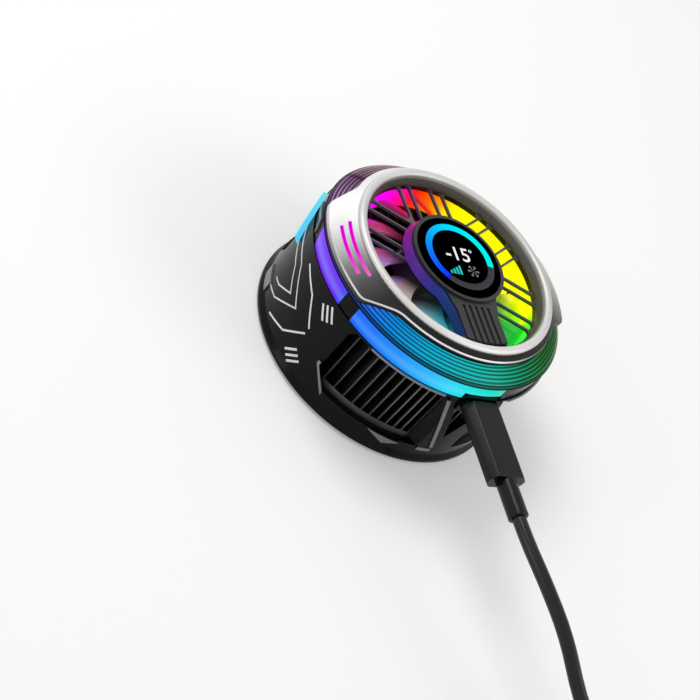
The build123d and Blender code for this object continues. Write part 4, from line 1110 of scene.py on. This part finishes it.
@dataclass
class Lead:
    """Power lead with its plug, its wound spare length and its far plug.

    Attributes:
        diameter: Diameter of the lead.
        length: Its real length; not used.
        exit: Mouth of the socket, where the plug enters.
        route: Route from the strain relief to the coil.
        tail: Route from the coil to the far plug.
        centre: Centre of the coil.
        outer: Radius of the outermost half turn's start.
        step: Change of radius at each half turn.
        layer: Step from layer to layer.
        top: Height of the top layer.
        half_turns: Half turns of each layer.
        per_half: Points of each half turn.
        own_weight: Share of a point's own place in the curve beside it.
        lowest: Height that no turn goes below.
        sleeve_near: Place of the sleeve's end inside the plug, along Y.
        sleeve_radius: Radius of the sleeve behind the plug.
        sleeve_edge: Bevel at its far end.
        sleeve_steps: Steps round it.
        grip_edge: Rounding of the plug's edges.
    """

    diameter: float = 3.0
    length: float = 1427.8
    exit: Point = (1.25, -31.0, 22.6)
    route: tuple[Point, ...] = (
        (1.25, -57.9, 22.6), (1.25, -63.0, 22.6), (2.6, -72.5, 22.3), (4.6, -83.0, 20.8), (6.2, -93.5, 17.0),
        (9.9, -101.8, 14.0), (16.6, -109.2, 11.9), (19.8, -115.2, 11.436), (19.8, -121.0, 11.436),
    )
    tail: tuple[Point, ...] = (
        (17.675, -127.0, 1.55), (17.675, -138.6, 1.55), (11.675, -148.99, 2.15), (1.283, -154.99, 3.2),
        (-10.717, -154.99, 3.2),
    )
    centre: tuple[float, float] = (-3.0, -124.0)
    outer: float = 22.8
    step: float = 2.125
    layer: float = 3.45
    top: float = 11.436
    half_turns: tuple[int, ...] = (6, 6, 6, 5)
    per_half: int = 8
    own_weight: float = 0.75
    lowest: float = 1.55
    sleeve_near: float = -49.4
    sleeve_radius: float = 2.15
    sleeve_edge: float = 0.25
    sleeve_steps: int = 40
    grip_edge: float = 0.4

    def coil(self) -> list[Vector]:
        """Points of the coil from its top outer turn down to its bottom one.

        The curve runs inside its points, so they are set out by the swell to keep the coil's radius.

        Returns:
            The points in millimetres.
        """
        points = []
        side, radius, height, grow = 1, self.outer, self.top, -self.step
        swell = 1 / (self.own_weight + (1 - self.own_weight) * math.cos(math.pi / self.per_half))
        for index, count in enumerate(self.half_turns):
            last = index == len(self.half_turns) - 1
            for turn in range(count if last else count + 1):
                climb = turn == count
                after = radius if climb else radius + grow
                drop = self.layer if climb else 0.0
                middle = self.centre[0] - side * (after - radius) / 2
                reach = swell * (after + radius) / 2
                start = 0.0 if side > 0 else math.pi
                for place in range(self.per_half):
                    share = (place + 0.5) / self.per_half
                    angle = start - math.pi * share
                    across = middle + reach * math.cos(angle)
                    along = self.centre[1] + reach * math.sin(angle)
                    points.append(Vector((across, along, max(height - drop * share, self.lowest))))
                radius, side, height = after, -side, height - drop
            grow = -grow
        return points

    def cord(self) -> Object:
        """Lays the cord as one smooth curve.

        Returns:
            The cord.
        """
        route, tail = ([Vector(point) for point in run] for run in (self.route, self.tail))
        points = route + self.coil() + tail
        curve = bpy.data.curves.new("power_cord", "CURVE")
        curve.dimensions = "3D"
        curve.bevel_depth = self.diameter * MM / 2
        curve.bevel_resolution = 4
        curve.resolution_u = 4
        curve.use_fill_caps = True
        spline = curve.splines.new("NURBS")
        spline.points.add(len(points) - 1)
        for spot, point in zip(spline.points, points):
            spot.co = (*(point * MM), 1.0)
        spline.order_u = 3
        spline.use_endpoint_u = True
        cord = bpy.data.objects.new("power_cord", curve)
        bpy.context.scene.collection.objects.link(cord)
        curve.materials.append(Finishes.cord.material())
        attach(cord, Body.LEAD.value)
        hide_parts("cable", "cable_coil", "cable_end")
        return cord

    def sleeve(self) -> Object:
        """Makes the plain round sleeve behind the plug.

        Returns:
            The sleeve.
        """
        bm = bmesh.new()
        axis = Vector((self.exit[0], 0.0, self.exit[2]))
        near, far, radius, edge = self.sleeve_near, self.route[0][1], self.sleeve_radius, self.sleeve_edge
        section = (
            (radius, near), (radius, far + edge), (radius - edge, far), (self.diameter / 2 - edge, far)
        )
        profile = [axis + Vector((reach, along, 0.0)) for reach, along in section]
        lathe(bm, profile, self.sleeve_steps, axis, Vector((0.0, 1.0, 0.0)))
        piece = finished(bm, "plug_sleeve", Finishes.plug, Body.LEAD)
        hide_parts("strain_relief")
        return piece

    def build(self) -> None:
        """Lays the cord and dresses the pieces on it."""
        cord = self.cord()
        steel = Finishes.connector_steel
        dress({"far_plug_overmold": Finishes.plug, "plug_shell": steel, "far_plug_shell": steel})
        grip = rounded(
            "plug_overmold", "plug_grip", Finishes.plug, Body.LEAD, self.grip_edge,
            lambda edge: True,
        )
        on_cord = ("plug_shell", "far_plug_overmold", "far_plug_shell")
        [grip, self.sleeve()] + [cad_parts[node] for node in on_cord]
        LOG.info("lead laid")


@dataclass(frozen=True)
class WallMark:
    """Thin silver strip that lies on the drum's wall.

    Attributes:
        points: Its route, as turns in degrees and heights in millimetres.
        width: Its width at the start.
        growth: How much wider it is at its end.
        sharpest: Least share of its width that a corner's mitre is worked out from.
        step_length: Longest step round the wall.
    """

    points: tuple[tuple[float, float], ...]
    width: float = 0.35
    growth: float = 0.0
    sharpest: float = 0.35
    step_length: float = 1.2

    def lay(self, bm: BMesh, radius: float, stand: float, proud: float) -> None:
        """Adds the strip to a mesh.

        Args:
            bm: Mesh that takes the strip.
            radius: Radius of the wall.
            stand: Gap below the strip.
            proud: Thickness of the strip.
        """
        flat = [Vector((math.radians(turn) * radius, height, 0.0)) for turn, height in self.points]
        corners = []
        for index, here in enumerate(flat):
            before = (here - flat[index - 1]).normalized() if index else (flat[1] - here).normalized()
            after = (flat[index + 1] - here).normalized() if index + 1 < len(flat) else before
            across = (before + after).normalized().cross(UP)
            spread = max(self.sharpest, across.dot(before.cross(UP)))
            width = self.width + self.growth * index / (len(flat) - 1)
            offset = across * (width / 2 / spread)
            corners.append((here - offset, here + offset))
        edge = bm.edges.new([bm.verts.new(corner) for corner in corners[0]])
        made = []
        for (left_a, right_a), (left_b, right_b) in zip(corners, corners[1:]):
            steps = max(1, int((left_b - left_a).length / self.step_length))
            for step in range(1, steps + 1):
                share = step / steps
                ends = (left_a.lerp(left_b, share), right_a.lerp(right_b, share))
                edge, faces = drawn_on(bm, edge, ends)
                made += faces
        shell = bmesh.ops.solidify(bm, geom=made, thickness=proud)["geom"]
        verts = {item for item in shell if isinstance(item, BMVert)}
        verts |= {vert for face in made for vert in face.verts}
        low = min(vert.co.z for vert in verts)
        for vert in verts:
            reach = radius + stand + vert.co.z - low
            turn = vert.co.x / radius
            vert.co = (reach * math.cos(turn), reach * math.sin(turn), vert.co.y)


@dataclass
class Drum:
    """Black drum with its base, heat sink, socket and side graphics.

    Attributes:
        wall_radius: Radius of the drum's wall.
        mark_stand: Gap between the wall and the printed strips.
        mark_proud: Thickness of the strips.
        bar: Lit bar on the far left side.
        bar_proud: How far the bar stands out.
        marks: Pinstripes of the side panel.
    """

    wall_radius: float = 30.5
    mark_stand: float = 0.01
    mark_proud: float = 0.06
    bar: WallMark = WallMark(((146.6, 27.4), (151.5, 21.8), (156.6, 16.0)), 0.15, 1.5)
    bar_proud: float = 1.1
    marks: tuple[WallMark, ...] = (
        WallMark(((150.0, 20.6), (172.0, 18.2), (186.0, 12.4), (172.0, 6.6), (158.0, 4.6))),
        WallMark(((156.0, 17.4), (169.0, 15.9), (178.5, 12.4), (169.0, 8.9), (163.0, 7.9))),
        WallMark(((176.0, 21.0), (188.0, 18.6), (197.0, 13.2)), 0.45),
        WallMark(((176.0, 3.8), (188.0, 6.2), (197.0, 11.6)), 0.45),
        WallMark(((194.5, 20.4), (199.0, 17.6)), 0.55),
        WallMark(((196.5, 21.2), (201.0, 18.4)), 0.55),
        WallMark(((198.5, 22.0), (203.0, 19.2)), 0.55),
        WallMark(((194.5, 4.4), (199.0, 7.2)), 0.55),
        WallMark(((196.5, 3.6), (201.0, 6.4)), 0.55),
        WallMark(((198.5, 2.9), (203.0, 5.7)), 0.55),
    )

    def graphics(self) -> None:
        """Lays the pinstripes of the side panel."""
        bm = bmesh.new()
        for mark in self.marks:
            mark.lay(bm, self.wall_radius, self.mark_stand, self.mark_proud)
        finished(bm, "side_pinstripes", Finishes.pinstripe, Body.COOLER)

    def light_bar(self) -> None:
        """Makes the lit bar that narrows upwards."""
        bm = bmesh.new()
        self.bar.lay(bm, self.wall_radius, 0.0, self.bar_proud)
        piece = finished(bm, "tapered_light_bar", Finishes.bar, Body.COOLER)
        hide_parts("rear_light_bar")

    def build(self) -> None:
        """Dresses the drum's nodes and adds the graphics."""
        dress({
            "thermal_pad": Finishes.pad_rubber,
            "cold_plate": Finishes.cold_metal,
            "plate_screws": Finishes.screw_steel,
            "base_cover": Finishes.case_black,
            "magnet_ring": Finishes.magnet_nickel,
            "magnet_shunt": Finishes.steel,
            "peltier_module": Finishes.ceramic,
            "module_gasket": Finishes.foam,
            "heat_sink": Finishes.fins,
            "drum_housing": Finishes.case_black,
            "window_trims": Finishes.trim_silver,
            "port_collar": Finishes.case_black,
            "usb_receptacle": Finishes.connector_steel,
            "receptacle_tongue": Finishes.contact_plastic,
            "port_circuit_board": Finishes.board,
        })
        self.graphics()
        self.light_bar()


@dataclass
class LightRing:
    """Lit band, grooved ring and the boards behind them."""

    def build(self) -> None:
        """Dresses the ring's nodes."""
        dress({
            "light_band": Finishes.band,
            "band_housing": Finishes.case_black,
            "light_circuit_board": Finishes.board,
            "light_emitters": Finishes.lamp,
            "grooved_ring": Finishes.ring,
        })


@dataclass
class Bezel:
    """Metal bezel with its wings, slits and dark frame.

    Attributes:
        plate_radius: Radius of the plate's outline between the wings.
        slit_radius: Radius inside which the slits lie.
        slit_turns: Turns between which they lie.
        edge_width: Width of the rounded outline that takes the painted highlight.
        margin: How far inside its radius the outline may lie.
        level: Least upward share of a face's normal on the plate's top.
    """

    plate_radius: float = 26.2
    slit_radius: float = 29.4
    slit_turns: tuple[float, float] = (165.0, 200.0)
    edge_width: float = 0.24
    margin: float = 0.1
    level: float = 0.5

    def on_outline(self, edge: BMEdge) -> bool:
        """Tells whether an edge runs along the top of the plate's outline.

        Args:
            edge: Edge of the bezel.

        Returns:
            Whether it does.
        """
        middle = (edge.verts[0].co + edge.verts[1].co) / 2
        radius = math.hypot(middle.x, middle.y)
        turn = math.degrees(math.atan2(middle.y, middle.x)) % 360
        in_slits = radius < self.slit_radius and self.slit_turns[0] < turn < self.slit_turns[1]
        upward = max(face.normal.z for face in edge.link_faces) > self.level
        return radius > self.plate_radius - self.margin and upward and not in_slits

    def build(self) -> None:
        """Dresses the bezel's nodes."""
        rounded(
            "bezel", "bezel_plate", Finishes.bezel, Body.COOLER, self.edge_width,
            self.on_outline,
        )
        dress({"wing_lights": Finishes.slit, "bezel_frame": Finishes.case_black})


@dataclass
class Fan:
    """Fan guard, lit duct, rotor and motor.

    Attributes:
        duct_radius: Radius of the duct, where the guard's ribs end.
        guard_bottom: Height of the underside of the guard's ribs.
        guard_top: Height of their top.
        slimming: How much each side of a rib is pared.
        rib_width: Width of a rib.
        stub_turn: Direction of the rib that reaches the hub beside the open sector.
        stub_side: Its offset from the axis.
        stub_span: Its inner and outer end along its direction.
        seat_heights: Foot and top of the ring that carries the guard.
        seat_radii: Its inner and outer radius.
        seat_steps: Steps round it.
        margin: How far inside the duct a rib's side counts as free.
        upright: Greatest upward share of the normal on a rib's side.
        least_spread: Least cosine between a rib's two sides at a corner.
    """

    duct_radius: float = 22.1
    guard_bottom: float = 29.55
    guard_top: float = 30.2
    slimming: float = 0.1
    rib_width: float = 0.5
    stub_turn: float = 153.0
    stub_side: float = 6.0
    stub_span: tuple[float, float] = (9.4, 14.2)
    seat_heights: tuple[float, float] = (29.0, 29.58)
    seat_radii: tuple[float, float] = (22.11, 23.6)
    seat_steps: int = 120
    margin: float = 0.05
    upright: float = 0.5
    least_spread: float = 0.2

    def guard(self) -> None:
        """Makes the guard with slimmer and shallower ribs than the solid's, and the ring below them."""
        bm = merged_copy("grille")
        bm.normal_update()
        shifts = {}
        for vert in bm.verts:
            vert.co.z = max(vert.co.z, self.guard_bottom)
            sides = [face.normal for face in vert.link_faces if abs(face.normal.z) < self.upright]
            if sides and math.hypot(vert.co.x, vert.co.y) < self.duct_radius - self.margin:
                other = min(sides, key=lambda normal: normal.dot(sides[0]))
                shifts[vert] = (sides[0] + other) / (1.0 + max(self.least_spread, sides[0].dot(other)))
        for vert, shift in shifts.items():
            vert.co -= shift * self.slimming
        (foot, top), (inner, outer) = self.seat_heights, self.seat_radii
        section = ((inner, foot), (outer, foot), (outer, top), (inner, top))
        lathe(bm, [(reach, 0.0, height) for reach, height in section], self.seat_steps, closed=True)
        stub = bmesh.ops.create_cube(bm, size=1.0)["verts"]
        low, high = self.stub_span
        size = (high - low, self.rib_width, self.guard_top - self.guard_bottom)
        bmesh.ops.scale(bm, vec=size, verts=stub)
        middle = ((low + high) / 2, self.stub_side, (self.guard_top + self.guard_bottom) / 2)
        bmesh.ops.translate(bm, vec=middle, verts=stub)
        turned(bm, stub, math.radians(self.stub_turn))
        piece = finished(bm, "fan_guard", Finishes.grille, Body.COOLER)
        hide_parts("grille")

    def build(self) -> None:
        """Dresses the fan's nodes and makes the guard."""
        self.guard()
        dress({
            "inner_light_ring": Finishes.duct,
            "fan_base": Finishes.frame_black,
            "fan_screws": Finishes.screw_steel,
            "fan_bearings": Finishes.steel,
            "motor_circuit_board": Finishes.board,
            "stator": Finishes.steel,
            "stator_windings": Finishes.copper,
            "fan_rotor": Finishes.blade,
            "rotor_yoke": Finishes.steel,
            "rotor_magnet": Finishes.frame_black,
            "fan_shaft": Finishes.steel,
        })


@dataclass
class Display:
    """Round display with a gauge, a number and two plain symbols.

    Attributes:
        top: Height of the glass.
        lift: Gap of the lit marks above it.
        gauge_inner: Inner radius of the gauge.
        gauge_outer: Outer radius of the gauge.
        gauge_start: Turn where its lit part starts.
        gauge_sweep: Degrees that are lit.
        gauge_gap: Degrees left free at each end of the unlit part.
        arc_step: Degrees of one step of an arc.
        arc_least: Fewest steps of an arc.
        number: What it shows.
        number_height: Height of the digits.
        number_place: Centre of the number.
        number_weight: How far the digits' outlines are swelled, in text units.
        degree_shift: Place of the degree mark from the number's upper right end.
        degree_radii: Its outer and inner radius.
        degree_steps: Steps round it.
        bars_foot: Left foot of the first rising bar.
        bar_pitch: Step from bar to bar.
        bar_low: Height of the first bar.
        bar_rise: How much higher each bar is than the last.
        bar_width: Width of a bar.
        bar_count: Number of bars.
        star_centre: Centre of the frost star.
        star_arm: Inner end, outer end and width of its arms.
        star_fork: Place of the forks on an arm, their reach and their width.
        star_arms: Number of arms.
        skirt_heights: Foot and top of the skirt that glows with painted duct light.
        skirt_radii: Its inner radius, and its outer ones at the foot and at the top.
        skirt_steps: Steps round it.
        flank: Plan of the arm's side, as distances across and along it.
        flank_flares: How far the arm's two sides that glow with painted duct light lean out at their foot.
        flank_thickness: Thickness of those sides.
    """

    top: float = 33.4
    lift: float = 0.02
    gauge_inner: float = 7.2
    gauge_outer: float = 8.85
    gauge_start: float = -10.0
    gauge_sweep: float = 241.0
    gauge_gap: float = 0.8
    arc_step: float = 3.0
    arc_least: int = 8
    number: str = "-15"
    number_height: float = 3.7
    number_place: tuple[float, float] = (-0.6, 0.65)
    number_weight: float = 0.008
    degree_shift: tuple[float, float] = (0.75, -0.45)
    degree_radii: tuple[float, float] = (0.42, 0.22)
    degree_steps: int = 20
    bars_foot: tuple[float, float] = (-4.0, -5.1)
    bar_pitch: float = 0.88
    bar_low: float = 0.8
    bar_rise: float = 0.55
    bar_width: float = 0.55
    bar_count: int = 4
    star_centre: tuple[float, float] = (2.3, -3.6)
    star_arm: tuple[float, float, float] = (0.35, 1.6, 0.2)
    star_fork: tuple[float, float, float] = (1.05, 0.36, 0.16)
    star_arms: int = 6
    skirt_heights: tuple[float, float] = (30.22, 32.18)
    skirt_radii: tuple[float, float, float] = (10.75, 12.5, 11.62)
    skirt_steps: int = 96
    flank: tuple[tuple[float, float], ...] = ((6.95, -9.4), (5.45, -14.5), (5.45, -21.9))
    flank_flares: tuple[float, float] = (0.8, 0.8 / 3)
    flank_thickness: float = 0.15

    def arc(self, name: str, start: float, sweep: float, finish: Finish) -> None:
        """Makes one length of the gauge.

        Args:
            name: Name of the piece.
            start: Turn where it starts, in degrees.
            sweep: Its length in degrees.
            finish: Its finish.
        """
        bm = bmesh.new()
        height = self.top + self.lift
        ends = [bm.verts.new((reach, 0.0, height)) for reach in (self.gauge_inner, self.gauge_outer)]
        edge = bm.edges.new(ends)
        turned(bm, ends, math.radians(start))
        steps = max(self.arc_least, int(sweep / self.arc_step))
        bmesh.ops.spin(
            bm, geom=[*ends, edge], cent=ORIGIN, axis=UP, angle=math.radians(sweep), steps=steps,
            use_duplicate=False,
        )
        self.upward(bm)
        finished(bm, name, finish, Body.COOLER)

    def upward(self, bm: BMesh) -> None:
        """Closes flat marks into thin slabs that face up.

        Args:
            bm: Mesh of the marks.
        """
        bmesh.ops.recalc_face_normals(bm, faces=bm.faces)
        down = [face for face in bm.faces if face.normal.z < 0]
        bmesh.ops.reverse_faces(bm, faces=down)
        bmesh.ops.solidify(bm, geom=bm.faces[:], thickness=self.lift / 2)

    def digits(self) -> None:
        """Sets the number with its degree mark."""
        curve = bpy.data.curves.new("number", "FONT")
        curve.body = self.number
        curve.size = 1.0
        curve.offset = self.number_weight
        holder = bpy.data.objects.new("number", curve)
        bpy.context.scene.collection.objects.link(holder)
        bpy.context.view_layer.update()
        graph = bpy.context.evaluated_depsgraph_get()
        mesh = bpy.data.meshes.new_from_object(holder.evaluated_get(graph))
        bm = bmesh.new()
        bm.from_mesh(mesh)
        bpy.data.objects.remove(holder)
        low = Vector((min(v.co.x for v in bm.verts), min(v.co.y for v in bm.verts), 0.0))
        high = Vector((max(v.co.x for v in bm.verts), max(v.co.y for v in bm.verts), 0.0))
        scale = self.number_height / (high.y - low.y)
        bmesh.ops.translate(bm, vec=-(low + high) / 2, verts=bm.verts)
        bmesh.ops.scale(bm, vec=(scale, scale, 1.0), verts=bm.verts)
        place = Vector((*self.number_place, self.top + self.lift))
        bmesh.ops.translate(bm, vec=place, verts=bm.verts)
        right, upper = max(v.co.x for v in bm.verts), place.y + self.number_height / 2
        centre = Vector((right + self.degree_shift[0], upper + self.degree_shift[1], place.z))
        section = [centre + Vector((reach, 0.0, 0.0)) for reach in reversed(self.degree_radii)]
        lathe(bm, section, self.degree_steps, centre)
        self.upward(bm)
        finished(bm, "display_number", Finishes.mark_white, Body.COOLER)

    def strip(self, bm: BMesh, start: Vector, end: Vector, width: float) -> None:
        """Adds a straight flat bar between two points.

        Args:
            bm: Mesh that takes the bar.
            start: Its start on the display.
            end: Its end.
            width: Its width.
        """
        run = end - start
        made = bmesh.ops.create_grid(bm, x_segments=1, y_segments=1, size=0.5)["verts"]
        bmesh.ops.scale(bm, vec=(run.length, width, 1.0), verts=made)
        turned(bm, made, math.atan2(run.y, run.x))
        middle = (start + end) / 2
        bmesh.ops.translate(bm, vec=(middle.x, middle.y, self.top + self.lift), verts=made)

    def symbols(self) -> None:
        """Draws the rising bars and the frost star."""
        bars = bmesh.new()
        for index in range(self.bar_count):
            foot = Vector(self.bars_foot) + Vector((index * self.bar_pitch, 0.0))
            head = foot + Vector((0.0, self.bar_low + index * self.bar_rise))
            self.strip(bars, foot, head, self.bar_width)
        self.upward(bars)
        finished(bars, "display_bars", Finishes.mark_teal, Body.COOLER)
        star = bmesh.new()
        centre = Vector(self.star_centre)
        inner, outer, width = self.star_arm
        place, reach, fork_width = self.star_fork
        for index in range(self.star_arms):
            turn = index * FULL_TURN / self.star_arms
            along = Vector((math.cos(turn), math.sin(turn)))
            across = Vector((-along.y, along.x))
            self.strip(star, centre + along * inner, centre + along * outer, width)
            fork = centre + along * place
            for side in (-1, 1):
                self.strip(star, fork, fork + (along + across * side) * reach, fork_width)
        self.upward(star)
        finished(star, "display_star", Finishes.mark_grey, Body.COOLER)

    def skirt(self) -> None:
        """Makes the pod's skirt, flared at its foot, and its arm's flanks, which glow with painted light of
        the duct.
        """
        bm = bmesh.new()
        low, high = self.skirt_heights
        inner, foot, rim = self.skirt_radii
        section = ((inner, low), (foot, low), (rim, high), (inner, high))
        lathe(bm, [(reach, 0.0, height) for reach, height in section], self.skirt_steps, closed=True)
        for side, flare in zip((-1, 1), self.flank_flares):
            tops = [Vector((side * across, along, high)) for across, along in self.flank]
            feet = [Vector((side * (across + flare), along, low)) for across, along in self.flank]
            edge = bm.edges.new((bm.verts.new(tops[0]), bm.verts.new(feet[0])))
            flank = []
            for ends in zip(tops[1:], feet[1:]):
                edge, faces = drawn_on(bm, edge, ends)
                flank += faces
            bmesh.ops.solidify(bm, geom=flank, thickness=self.flank_thickness)
        # The skirt and flanks glow with painted duct light.
        piece = finished(bm, "pod_skirt_painted_duct_light", Finishes.pod_painted_duct_light, Body.COOLER)
        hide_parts("pod_light_ring")

    def build(self) -> None:
        """Dresses the display's nodes and adds its marks."""
        self.skirt()
        dress({
            "display_pod": Finishes.pod,
            "display_glass": Finishes.glass,
            "display_panel": Finishes.display,
            "display_circuit_board": Finishes.board,
            "display_flex": Finishes.flex,
        })
        self.arc("gauge_lit", self.gauge_start, self.gauge_sweep, Finishes.gauge)
        rest = self.gauge_start + self.gauge_sweep
        free = 360.0 - self.gauge_sweep - 2 * self.gauge_gap
        self.arc("gauge_rest", rest + self.gauge_gap, free, Finishes.gauge_rest)
        self.digits()
        self.symbols()


def main() -> None:
    """Builds the camera, the lead, the studio and every sub-assembly."""
    logging.basicConfig(level=logging.INFO, format="%(name)s %(message)s")
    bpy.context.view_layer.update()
    Camera().build()
    Lead().build()
    Studio().build()
    for assembly in (Drum(), LightRing(), Bezel(), Fan(), Display()):
        assembly.build()
        LOG.info("%s built", type(assembly).__name__)


if __name__ == "__main__":
    main()
